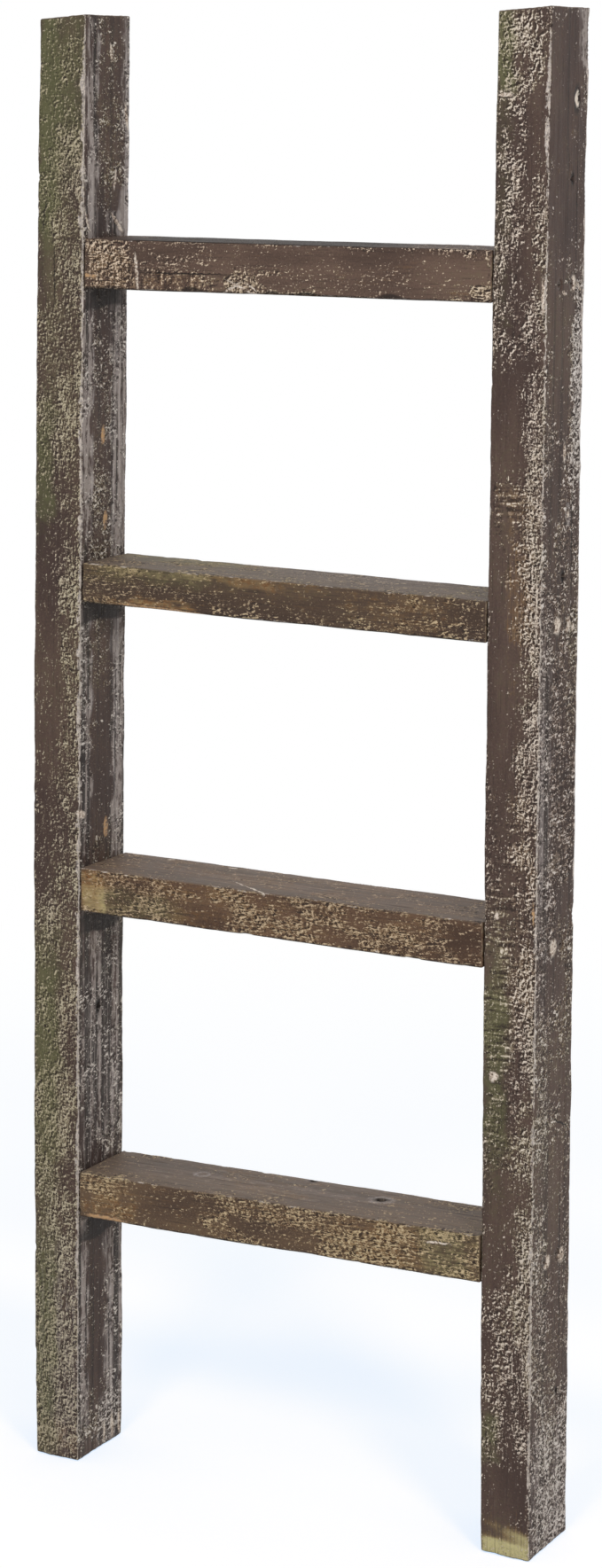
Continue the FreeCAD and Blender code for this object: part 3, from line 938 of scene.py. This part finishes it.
# %% Build the weathering tree
def true_place(board, wires, carved):
    """Lean and bow a straight timber's points into their place on the ladder."""
    along, across, deep = carved.vector("DIVIDE", wires["Size"]).split()
    full_depth = wires["Size"].split()[2]
    middle = 2.0 * along - 1.0
    sag = 1.0 - middle * middle

    def lerp(share, first, second):
        return board.node("ShaderNodeMix", {"data_type": "VECTOR"},
                          {0: share, 4: first, 5: second}, output=1)

    def bowed(edge):
        line = lerp(along, wires[edge + " start"], wires[edge + " end"])
        drop = wires[edge + " bow"].vector("MULTIPLY", board.join(sag, sag, sag))
        return line.vector("SUBTRACT", drop)

    front = lerp(across, bowed("Low"), bowed("High"))
    return front.vector("ADD", board.join(0.0, deep * full_depth, 0.0))


def weathering_tree():
    vectors = ("Size", "Low start", "Low end", "High start", "High end", "Low bow", "High bow")
    board, wires, out = geometry_tree("Weathered timber", {
        **dict.fromkeys(vectors, "Vector"),
        **dict.fromkeys(("Arris", "Grain depth", "Waver", "Seed"), "Float"),
        "Turn faces": "Bool", "Finish": "Material"})
    place = board.node("GeometryNodeInputPosition")
    local = board.node("GeometryNodeStoreNamedAttribute", {"data_type": "FLOAT_VECTOR"},
                       {"Geometry": wires["Timber"], "Name": "timber", "Value": place})
    placed = true_place(board, wires, worn_surface(board, wires, place))
    moved = board.node("GeometryNodeSetPosition", None, {"Geometry": local, "Position": placed})
    turned = board.node("GeometryNodeFlipFaces", None,
                        {"Mesh": moved, "Selection": wires["Turn faces"]})
    smooth = board.node("GeometryNodeSetShadeSmooth", None, {"Geometry": turned})
    real = board.node("GeometryNodeRealizeInstances", None, {"Geometry": smooth})
    finished = board.node("GeometryNodeSetMaterial", None,
                          {"Geometry": real, "Material": wires["Finish"]})
    board.connect(finished, out)
    return board.tree


WEATHERING = weathering_tree()
print("weathering tree:", len(WEATHERING.nodes), "nodes")

# %% [markdown]
# ## What the paint and the wood look like
#
# Close up, the ladder is dark brown paint that has crinkled and curled over the rough sawing.
# Each curl is a pale ridge with a shadow beside it, three or four millimetres across; the finish
# paints that shadow, and the light on the crest, into the colour as painted shade and painted
# highlight.  Where the paint is whole it is smooth and plain.  Colours are written as read off a
# picture, 0 to 255.

# %% Colours of the wood and the paint
def colour(red, green, blue):
    """A colour as read off a picture (0 to 255), as the linear values that nodes take."""
    linear = [((part / 255 + 0.055) / 1.055) ** 2.4 if part > 10 else part / 255 / 12.92
              for part in (red, green, blue)]
    return (*linear, 1.0)


BLACK, WHITE = (0.0, 0.0, 0.0, 1.0), (1.0, 1.0, 1.0, 1.0)
PAINT_VIOLET = colour(72, 57, 56)
PAINTS = {                              # the dark and the light tone of each timber's paint
    "left_stile": (colour(64, 49, 43), colour(92, 73, 63)),
    "right_stile": (colour(65, 50, 44), colour(92, 73, 64)),
    "top_rung": (colour(76, 59, 50), colour(108, 86, 74)),
    "upper_rung": (colour(64, 49, 39), colour(88, 70, 56)),
    "lower_rung": (colour(68, 49, 37), colour(112, 85, 65)),
    "bottom_rung": (colour(76, 59, 47), colour(108, 86, 66)),
}
CURL_TAN, CURL_CREAM = colour(178, 152, 130), colour(240, 226, 211)
CURL_GREY, CURL_SILVER = colour(194, 184, 180), colour(236, 228, 222)
CURL_OLIVE, CURL_GOLD = colour(172, 156, 112), colour(182, 150, 110)
SPOT_ORANGE = colour(206, 164, 118)
CRESTS = {                              # the palest tone of each timber's curls, also laid as their painted highlight
    "left_stile": colour(212, 200, 176), "right_stile": CURL_CREAM,
    "top_rung": colour(236, 214, 190), "upper_rung": colour(208, 186, 150),
    "lower_rung": colour(214, 190, 158), "bottom_rung": colour(216, 194, 156),
}
RAW_OCHRE, RAW_PALE = colour(150, 106, 62), colour(190, 158, 108)
RAW_OLIVE = colour(214, 203, 150)
GREY_WOOD, ALGAE = colour(170, 158, 151), colour(106, 112, 70)
# the first dark colour paints shade beside the curls and also dark fibres; the second paints dark
# grain, cracks, knots and checks, and also painted shade under the rungs, along their lower
# arrises and in nail holes
SHADOW, DARK_GRIME_AND_SHADE, DUST = colour(44, 34, 30), colour(30, 23, 20), colour(160, 144, 130)
END_LIGHT, END_DARK = colour(140, 120, 98), colour(92, 76, 64)
RUST, STEEL = colour(72, 44, 28), colour(110, 104, 98)
print("dirt as a node takes it:", [round(part, 3) for part in DARK_GRIME_AND_SHADE])

# %% [markdown]
# ## Starting a timber's finish
#
# One set of steps makes the finish of any timber.  They work in the timber's own straight frame,
# the attribute that the weathering tree stored, so grain runs along a stile and a rung alike, and
# the distance to the nearest arris is a simple sum of two positions.

# %% Start a finish
def shader_board(name):
    """A new material: the material, its board and its main shader."""
    material = bpy.data.materials.new(name)
    material.use_nodes = True
    tree = material.node_tree
    return material, Board(tree), tree.nodes["Principled BSDF"]


def edge_distance(place, full):
    """How far a position is from the nearer of 0 and full."""
    return place & (full - place)


class Look:
    """What the steps of one timber's finish share: its board, its positions and its masks."""

    def __init__(self, timber):
        self.timber = timber
        self.material, self.board, self.shader = shader_board(timber.node + "_finish")
        self.is_plain_rung = not timber.is_stile and timber.node != "top_rung"
        self.place = self.attribute("timber", output=1)
        seed_shift = (timber.seed * 3.1, timber.seed * 1.7, timber.seed * 2.3)
        self.seeded = self.place.vector("MULTIPLY", (1.0, 1.0, 0.6)).vector("ADD", seed_shift)
        self.along, self.across, self.deep = self.place.split()
        self.wear = {kind: self.attribute(kind) for kind in KINDS}
        self.arris = (edge_distance(self.across, timber.width)
                      | edge_distance(self.deep, timber.depth))

    def attribute(self, name, output=2):
        return self.board.node("ShaderNodeAttribute", {"attribute_name": name}, None, output)


print("wear that a finish reads:", ", ".join(KINDS))

# %% Patterns of the wood, from broad to fine
def add_patterns(look):
    seeded = look.seeded
    look.broad = seeded.stretched(0.3).noise(26.0, 3.0, 0.6)
    look.whole = seeded.stretched(0.4).noise(48.0, 3.0, 0.6).step(0.48, 0.60)
    look.patchy = seeded.stretched(0.5).noise(90.0, 4.0, 0.7)
    look.mottle = seeded.noise(210.0, 3.0, 0.65)
    look.hatch = seeded.stretched(0.25).noise(420.0, 3.0, 0.7)
    look.sawn = seeded.stretched(1.0, 0.16).noise(330.0, 2.0, 0.55)
    look.fibre = seeded.stretched(0.035).noise(620.0, 3.0, 0.65)
    look.speck = seeded.noise(620.0, 2.0, 0.6)


print("patterns run from 26 to 620 waves in a metre")

# %% [markdown]
# ## Curls of paint
#
# Old paint cracks into short ridges that curl up.  A ridge is where a noise crosses its middle
# value: how far the noise is from 0.5 says how far we are from the crest.  The same ridge, read
# a millimetre to one side, gives the shadow beside it, and the crest less its shadow gives the
# side towards the light; both are painted into the colour, as painted shade and painted
# highlight.  Along the saw marks the ridges turn into streaks across the grain.

# %% Curls and their painted highlights and shadows
CURL_SCALE = 245.0                      # curls in a metre, about one in 4 mm
SMALL_CURLS = 1.55                      # how much finer the small curls are
SHADOW_SIDE = 1.1 * MM                  # from a crest to its shadow


def curl_ridge(point, scale):
    """1 along the crest of a curl of paint, falling off on both sides of it."""
    return 1.0 - abs(point.noise(scale, 2.5, 0.55, 0.5) - 0.5) * 5.0


def add_curls(look):
    is_stile = look.timber.is_stile
    side = (SHADOW_SIDE, -SHADOW_SIDE, 0.0) if is_stile else (-SHADOW_SIDE, SHADOW_SIDE, 0.0)
    bent = look.seeded.stretched(0.5 if look.is_plain_rung else 0.85)
    shaded = bent.vector("ADD", side)
    scale = CURL_SCALE * (1.3 if look.is_plain_rung else 1.0)
    crest, beside = curl_ridge(bent, scale), curl_ridge(shaded, scale)
    streak = look.wear["saw"] * 0.75
    crest = crest * (1.0 - streak) + (look.sawn * 2.6 - 0.8) * streak
    # rise is the crest less its shadow: painted highlight where it is positive, painted shade
    # where it is negative; level carries both into the colour and the bump
    rise = (crest - beside) * 1.1 * (1.0 - streak)
    look.level = crest * 0.75 + rise + (look.speck - 0.5) * 0.9
    # the small curls, with the same painted highlight and painted shade
    small = curl_ridge(bent, scale * SMALL_CURLS)
    small_side = curl_ridge(shaded, scale * SMALL_CURLS)
    look.small = small * 0.7 + (small - small_side) * 0.8 + (look.hatch - 0.5) * 1.6


print(f"curls are {1000 / CURL_SCALE:.1f} mm apart, small ones {645 / CURL_SCALE:.1f} mm")

# %% How much paint has curled or gone
WORN_EDGE = 4.5 * MM                    # how far from an arris the paint is rubbed off
BARE_LINE = 9 * MM                      # how much wider the bare line gets as edge wear grows
RAGGED_LINE = 16 * MM                   # how much its inner side wanders


def add_cover(look):
    wear, arris, level, small = look.wear, look.arris, look.level, look.small
    patchy, mottle, whole = look.patchy, look.mottle, look.whole
    rubbed = arris.step(WORN_EDGE, 0.5 * MM) * patchy.step(0.35, 0.6) * wear["edge"]
    ragged = look.seeded.stretched(0.3).noise(230.0, 3.0, 0.7)
    bare_width = (wear["edge"] - 0.45) * BARE_LINE + (ragged - 0.5) * RAGGED_LINE
    look.bare_line = (bare_width - arris).step(0.0, 0.9 * MM) * mottle.step(0.36, 0.48)

    plenty = (wear["fine"] + (patchy - 0.5) * 1.4 + (mottle - 0.5) * 0.8
              + (0.12 - whole * 0.35))
    # small pale curls, partly pale paint and partly painted highlight, and the painted shade
    # beside and between them
    look.fine = (small + plenty * 0.55).step(1.08, 1.30)
    look.fine_white = (small + plenty * 0.45).step(1.22, 1.40)
    look.fine_dark = small.step(0.30, -0.05) * plenty.step(0.2, 0.7)

    density = wear["flakes"] * 0.9 + (patchy - 0.5) * 2.2 + (mottle - 0.5) * 0.9 + rubbed
    density = density + (0.16 - whole * 0.45)
    look.density, look.flaked = density, density.step(0.2, 0.85)
    raised = level + look.flaked * 0.45
    cream = wear["flakes"].step(0.6, 1.0) * 0.05
    # large pale curls, partly pale paint and partly painted highlight, and the painted shade
    # beside and under them
    look.light = raised.step(0.86, 1.25) * density.step(0.12, 0.4)
    look.bright = (raised + cream).step(1.10, 1.30) * density.step(0.15, 0.4)
    look.under = level.step(0.42, 0.0) * density.step(0.15, 0.5)


print(f"paint is rubbed off up to {WORN_EDGE / MM} mm from an arris")

# %% [markdown]
# ## Wood, paint and weather
#
# Colours are laid over one another in the order in which the years laid them: paint, then raw
# wood where the paint has gone, grey slivers and furrows along the grain, dust on the upper
# faces, algae on the damp side.  Each coat is a mask and a colour.

# %% The coats under the curls
def add_weather(look):
    wear, patchy, mottle = look.wear, look.patchy, look.mottle
    sliver = (look.fibre * 0.6 + look.hatch * 0.9 + wear["grey"] * 0.25).step(0.88, 1.02)
    look.grey = sliver * wear["grey"].step(0.1, 0.9)
    broken = (patchy - 0.5) * 0.9 + (look.fibre - 0.5) * 0.9 + (mottle - 0.5) * 0.9
    look.raw = (wear["raw"] + broken - look.whole * 0.25).step(0.15, 0.85)
    damp = wear["green"] + (mottle - 0.5) * 0.9 + (look.broad - 0.5) * 0.8
    look.green = damp.step(0.05, 1.1)
    look.flank = edge_distance(look.deep, look.timber.depth).step(0.5 * MM, 2 * MM)


def wood_and_paint(look):
    """The colour of everything that lies under the curls of paint."""
    wear, board, timber, mottle = look.wear, look.board, look.timber, look.mottle
    ridge = look.seeded.stretched(0.015).noise(420.0, 2.0, 0.6)
    furrow = look.seeded.stretched(0.010).noise(175.0, 2.0, 0.6)
    old_wood = wear["grey"].step(0.3, 0.9)
    raw_tone = board.lay(RAW_PALE, (mottle.step(0.4, 0.6), RAW_OCHRE),
                         (wear["green"].step(0.2, 0.6), RAW_OLIVE))
    paint = board.blend((look.broad + (look.speck - 0.5) * 0.5).step(0.3, 0.7),
                        *PAINTS[timber.node])
    base = board.lay(
        paint,
        (wear["grey"] * 0.5, PAINT_VIOLET),
        (look.raw * wear["raw"].step(0.3, 1.0, 0.5, 0.9), raw_tone),
        (look.grey * 0.85, GREY_WOOD),
        (ridge.step(0.57, 0.63) * old_wood * 0.5, CURL_GREY),
        (ridge.step(0.44, 0.38) * old_wood * 0.9, DARK_GRIME_AND_SHADE),
        (furrow.step(0.55, 0.60) * old_wood * 0.45, CURL_GREY),
        (furrow.step(0.46, 0.41) * old_wood * 0.75, DARK_GRIME_AND_SHADE),
        (furrow.step(0.46, 0.38) * look.flank * 0.5, SHADOW))
    if look.is_plain_rung:
        dusty = look.across.step(timber.width - 1.5 * MM, timber.width - 0.4 * MM)
        base = board.blend(dusty * 0.3, base, DUST)
    flaked_off = mottle.step(0.56, 0.66) * look.density.step(0.4, 0.8)
    return board.lay(
        base,
        (flaked_off * 0.5, board.blend(wear["grey"], CURL_TAN, CURL_GREY)),
        (look.fibre.step(0.44, 0.3) * 0.6, SHADOW),
        (look.green * 0.52 * (1.0 - look.raw * 0.7), ALGAE),
        # painted shade beside and under the curls of paint
        (look.under * 0.85, SHADOW))


print("coats under the curls: paint, violet, raw wood, grey wood, furrows, dust, algae")

# %% The curls, the bare edges and the painted shade
LEFT_OLIVE = 0.12                       # the left stile's curls are greener


def curls_and_painted_shade(look, base):
    """Lay the curls with their painted highlights and shade, the bare arrises, and painted shade
    and grime over the colour so far.
    """
    wear, board, timber, green = look.wear, look.board, look.timber, look.green
    olive = (look.broad + (LEFT_OLIVE if timber.node == "left_stile" else 0.0)).step(0.4, 0.65)
    pale = board.lay(
        CURL_TAN, (olive, CURL_OLIVE),
        (wear["raw"].step(0.08, 0.35) * 0.85, CURL_GOLD),
        (wear["grey"] * 0.8, CURL_GREY), (green * 0.55, ALGAE))
    white = board.blend(green * 0.4, CRESTS[timber.node], CURL_OLIVE)
    if timber.is_stile:
        white = board.blend(look.flank * 0.8, white, CURL_SILVER)
    bare_tone = board.lay(CURL_GREY, (look.speck.step(0.35, 0.65), CURL_CREAM),
                          (look.hatch.step(0.5, 0.3), SHADOW))
    # painted shade under the rungs and along the top rung's lower arris, with grime, from the
    # marks
    shade_and_grime = (wear["dirt"] + (look.mottle - 0.5) * 0.5).step(0.25, 0.85)
    if not timber.is_stile:             # painted shade along the lower arris and the front of the underside
        low = (look.across + (look.mottle - 0.5) * (3 * MM)).step(2.4 * MM, 1.2 * MM)
        shade_and_grime = shade_and_grime | (low * look.deep.step(8 * MM, 4 * MM) * 0.85)
    # curls with their painted highlights and painted shade, bare arrises, then painted shade and
    # grime
    return board.lay(
        base,
        (look.fine_dark * 0.8, SHADOW), (look.fine * 0.62, pale),
        (look.fine_white * 0.8, white), (look.light * 0.8, pale),
        (look.bright * 0.9, white), (look.bare_line * 0.8, bare_tone), (shade_and_grime * 0.85, DARK_GRIME_AND_SHADE))


print("coats over them: curls, bare arrises, soot")

# %% [markdown]
# ## Cracks, spots and holes
#
# Each single mark is laid on by its own radius: 0 in its middle, 1 on its rim.  A little noise
# pushes the rim about, and grit breaks the mark up, so that none looks like a printed ellipse.

# %% Lay the single marks
WOBBLE = 3.5 * MM                       # how far the rims are pushed about, from end to end


def spot_radius(look, wobble, spot):
    """0 at the middle of a spot, 1 on its rim."""
    centre, *axes = spot_axes(look.timber, spot)
    from_centre = look.place.vector("ADD", wobble).vector("SUBTRACT", centre)
    parts = [from_centre.vector("DOT_PRODUCT", axis, 1) for axis in axes]
    return look.board.join(*parts).length()


def lay_spot(board, base, radius, kind, grit):
    """Lay one mark over the colour so far, and give the hollow that it makes in the surface."""
    if kind == "crack":
        dark = radius.step(1.2, 0.5) * grit.step(0.25, 0.5, 0.5, 1.0)
        return board.blend(dark * 0.95, base, DARK_GRIME_AND_SHADE), dark
    if kind == "hole":
        # a darker ring around the nail hole, and painted shade inside it where it is sunk
        coats = (radius.step(2.0, 1.0) * 0.5, SHADOW), (radius.step(1.1, 0.8), DARK_GRIME_AND_SHADE)
        return board.lay(base, *coats), radius.step(1.2, 0.7)
    if kind == "ring":
        band = radius.step(0.5, 0.95) * radius.step(1.5, 1.0) * grit.step(0.40, 0.55)
        return board.blend(band * 0.5, base, CURL_GREY), band * 0.3
    if kind == "knot":
        pale = radius.step(0.95, 0.6) * grit.step(0.25, 0.4)
        coats = (radius.step(1.7, 1.0) * 0.8, DARK_GRIME_AND_SHADE), (pale, CURL_CREAM)
        return board.lay(base, *coats), radius.step(1.3, 0.8) * 0.5
    mask = radius.step(1.3, 0.7) * grit.step(0.36, 0.50)
    tone = CURL_CREAM if kind == "pale" else SPOT_ORANGE
    tone = board.blend(grit.step(0.42, 0.55), CURL_TAN, tone)
    coats = (radius.step(1.9, 1.0) * 0.35, SHADOW), (mask * 0.95, tone)
    return board.lay(base, *coats), mask * -0.4


def lay_spots(look, base):
    """Lay all of a timber's single marks, and note how deep they are."""
    middle, push = (0.5, 0.5, 0.5), (WOBBLE, WOBBLE, WOBBLE)
    wobble = look.seeded.noise(260.0, output=1).vector("SUBTRACT", middle)
    wobble = wobble.vector("MULTIPLY", push)
    grit = look.speck * 0.5 + look.hatch * 0.5
    look.hollow = look.speck * 0.1
    for spot in SPOTS[look.timber.node]:
        radius = spot_radius(look, wobble, spot)
        base, sunk = lay_spot(look.board, base, radius, spot[-1], grit)
        look.hollow = look.hollow + sunk
    return base


print("kinds of mark:", sorted({spot[-1] for spots in SPOTS.values() for spot in spots}))

# %% [markdown]
# ## Sawn ends
#
# The ends show growth rings around a pith that lies outside the timber, as in boards sawn from a
# larger log, with dried checks that run outwards from the pith and some paint left over them.

# %% Grain of the sawn ends
PITH = (0.0, -20 * MM, 95 * MM)         # where the pith lies, across and back
RINGS = 300.0                           # growth rings in a metre


def sawn_end(look, base):
    board, mottle, patchy = look.board, look.mottle, look.patchy
    from_middle = look.place.vector("SUBTRACT", PITH).vector("MULTIPLY", (0.0, 1.0, 1.0))
    from_pith = from_middle.length() + mottle * (1.5 * MM)
    rings = board.node("ShaderNodeMath", {"operation": "FRACT"}, {0: from_pith * RINGS})
    spoke = abs(from_middle.vector("NORMALIZE").noise(26.0, 3.0, 0.7) - 0.5)
    dried = spoke.step(0.022, 0.006) * patchy.step(0.42, 0.55)
    kept_paint = (patchy + (mottle - 0.5) * 0.8).step(0.40, 0.56) * 0.85
    end_grain = board.lay(
        END_LIGHT, (rings.step(0.3, 0.95), END_DARK), (mottle.step(0.5, 0.75) * 0.5, GREY_WOOD),
        (kept_paint, PAINTS[look.timber.node][1]), (dried * 0.9, DARK_GRIME_AND_SHADE))
    from_end = edge_distance(look.along, look.timber.length)
    return board.blend(from_end.step(1.2 * MM, 0.4 * MM), base, end_grain)


print(f"growth rings are {1000 / RINGS:.1f} mm apart")

# %% Put the finish together
BUMP_DEPTH = 1.2 * MM


def timber_finish(timber):
    """The finish of one timber, step by step."""
    look = Look(timber)
    for step in (add_patterns, add_curls, add_cover, add_weather):
        step(look)
    base = curls_and_painted_shade(look, wood_and_paint(look))
    base = sawn_end(look, lay_spots(look, base))
    rough = 0.6 + look.flaked * 0.15 + look.raw * 0.15 + (look.speck - 0.5) * 0.2
    height = (look.level * look.flaked * 0.6 + look.fine * 0.3 + look.fibre * 0.5
              + look.sawn * look.wear["saw"] * 0.5 + look.mottle * 0.6 - look.hollow)
    bump = look.board.node("ShaderNodeBump", None,
                           {"Height": height, "Strength": 0.8, "Distance": BUMP_DEPTH})
    for wire, name in ((base, "Base Color"), (rough, "Roughness"), (bump, "Normal")):
        look.board.connect(wire, look.shader.inputs[name])
    look.shader.inputs["Specular IOR Level"].default_value = 0.25
    return look.material


print(f"bump stands for relief up to {BUMP_DEPTH / MM} mm deep")

# %% [markdown]
# ## Making the timbers
#
# Each timber goes through the same steps: blank, wear, weathering, finish.  The detailed timber
# then stands for the CAD solid and rides on the ladder's one body.

# %% Make all six timbers
ARRIS, GRAIN_DEPTH, WAVER = 1.7 * MM, 0.35 * MM, 0.9 * MM


def make_timber(timber):
    mesh = blank_mesh(timber)
    write_wear(mesh, timber)
    along_x = Vector((1.0, 0.0, 0.0))
    detailed = run_tree(mesh, WEATHERING, {
        "Size": (timber.length, timber.width, timber.depth),
        "Low start": timber.low[0], "Low end": timber.low[1],
        "High start": timber.high[0], "High end": timber.high[1],
        "Low bow": along_x * timber.low_bow, "High bow": along_x * timber.high_bow,
        "Arris": ARRIS, "Grain depth": GRAIN_DEPTH, "Waver": WAVER,
        "Seed": timber.seed * 1.37, "Turn faces": not timber.is_stile,
        "Finish": timber_finish(timber)}, timber.node + "_weathered")
    piece = bpy.data.objects.new(timber.node + "_weathered", detailed)
    scene.collection.objects.link(piece)
    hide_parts(timber.node)
    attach(piece, "root")
    detailed.calc_loop_triangles()
    print(f"{piece.name}: {len(detailed.loop_triangles)} triangles")


for timber in TIMBERS:
    make_timber(timber)

# %% [markdown]
# ## The screws
#
# The screws stay the CAD's own solids.  Their heads lie deep in the stiles, browned by the damp
# wood, with only a dull gleam of steel left.

# %% Finish the screws
def screw_finish():
    material, board, shader = shader_board("old_screw_steel")
    place = board.node("ShaderNodeTexCoord", None, None, 3)
    rust = place.noise(900.0, 4.0, 0.65).step(0.4, 0.62)
    board.connect(board.blend(rust, STEEL, RUST), shader.inputs["Base Color"])
    board.connect(1.0 - rust, shader.inputs["Metallic"])
    board.connect(rust * 0.4 + 0.4, shader.inputs["Roughness"])
    return material


steel = screw_finish()
screws = [piece for node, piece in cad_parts.items() if node.endswith("screws")]
for piece in screws:
    piece.data.materials.clear()
    piece.data.materials.append(steel)
print("screw pairs finished:", len(screws))

# %% [markdown]
# ## Floor and light
#
# A white studio: the floor and the world are bright for the camera only, so that they don't
# light the ladder from below, and two soft lamps light it from the front and the right.  Near
# the feet the floor catches the ladder's shadow, slightly blue.

# %% Lay a white floor
FLOOR_EDGE = 6.0                        # from the middle to each side
SHADOW_FADES = (0.7, 2.0)               # distance at which the shadow starts and ends to fade


def seen_directly(board):
    """1 where the camera looks, also by way of a mirror or through glass."""
    rays = [board.node("ShaderNodeLightPath", None, None, output) for output in
            ("Is Camera Ray", "Is Glossy Ray", "Is Transmission Ray")]
    return rays[0] | rays[1] | rays[2]


def white_floor():
    edge = FLOOR_EDGE
    mesh = bpy.data.meshes.new("floor")
    mesh.from_pydata([(-edge, -edge, 0), (edge, -edge, 0), (edge, edge, 0), (-edge, edge, 0)],
                     [], [(0, 1, 2, 3)])
    floor = bpy.data.objects.new("floor", mesh)
    scene.collection.objects.link(floor)
    material, board, shader = shader_board("white_floor")
    shader.inputs["Roughness"].default_value = 0.9
    shader.inputs["Specular IOR Level"].default_value = 0.0
    shader.inputs["Emission Strength"].default_value = 1.0
    seen = seen_directly(board)
    far = board.node("ShaderNodeTexCoord", None, None, 3).length().step(*SHADOW_FADES)
    catches = board.blend(far, (0.74, 0.436, 0.064, 1.0), BLACK)
    shade = board.blend(seen, (0.86, 0.86, 0.86, 1.0), catches)
    glow = board.blend(far, (0.510, 0.712, 0.962, 1.0), WHITE)
    board.connect(shade, shader.inputs["Base Color"])
    board.connect(board.blend(seen, BLACK, glow), shader.inputs["Emission Color"])
    floor.data.materials.append(material)


white_floor()
print(f"floor {2 * FLOOR_EDGE:.0f} m wide")

# %% Light the ladder
WORLD_LIGHT = 0.50                      # what the ladder gets; the camera sees 1, white


def studio_world():
    world = scene.world = bpy.data.worlds.new("studio")
    world.use_nodes = True
    board = Board(world.node_tree)
    background = world.node_tree.nodes["Background"]
    background.inputs["Color"].default_value = WHITE
    strength = seen_directly(board) * (1.0 - WORLD_LIGHT) + WORLD_LIGHT
    board.connect(strength, background.inputs["Strength"])


def soft_lamp(name, place, aim, size, power):
    data = bpy.data.lights.new(name, "AREA")
    data.shape, data.size, data.energy = "DISK", size, power
    lamp = bpy.data.objects.new(name, data)
    lamp.location = place
    lamp.rotation_euler = (Vector(aim) - Vector(place)).to_track_quat("-Z", "Y").to_euler()
    scene.collection.objects.link(lamp)


studio_world()
soft_lamp("front lamp", (0.3, -2.6, 2.5), (0, 0, 0.6), 0.7, 20.0)
soft_lamp("right lamp", (2.4, -2.0, 2.3), (0, 0, 0.6), 0.7, 32.0)
print("lamps:", len(bpy.data.lights))

# %% [markdown]
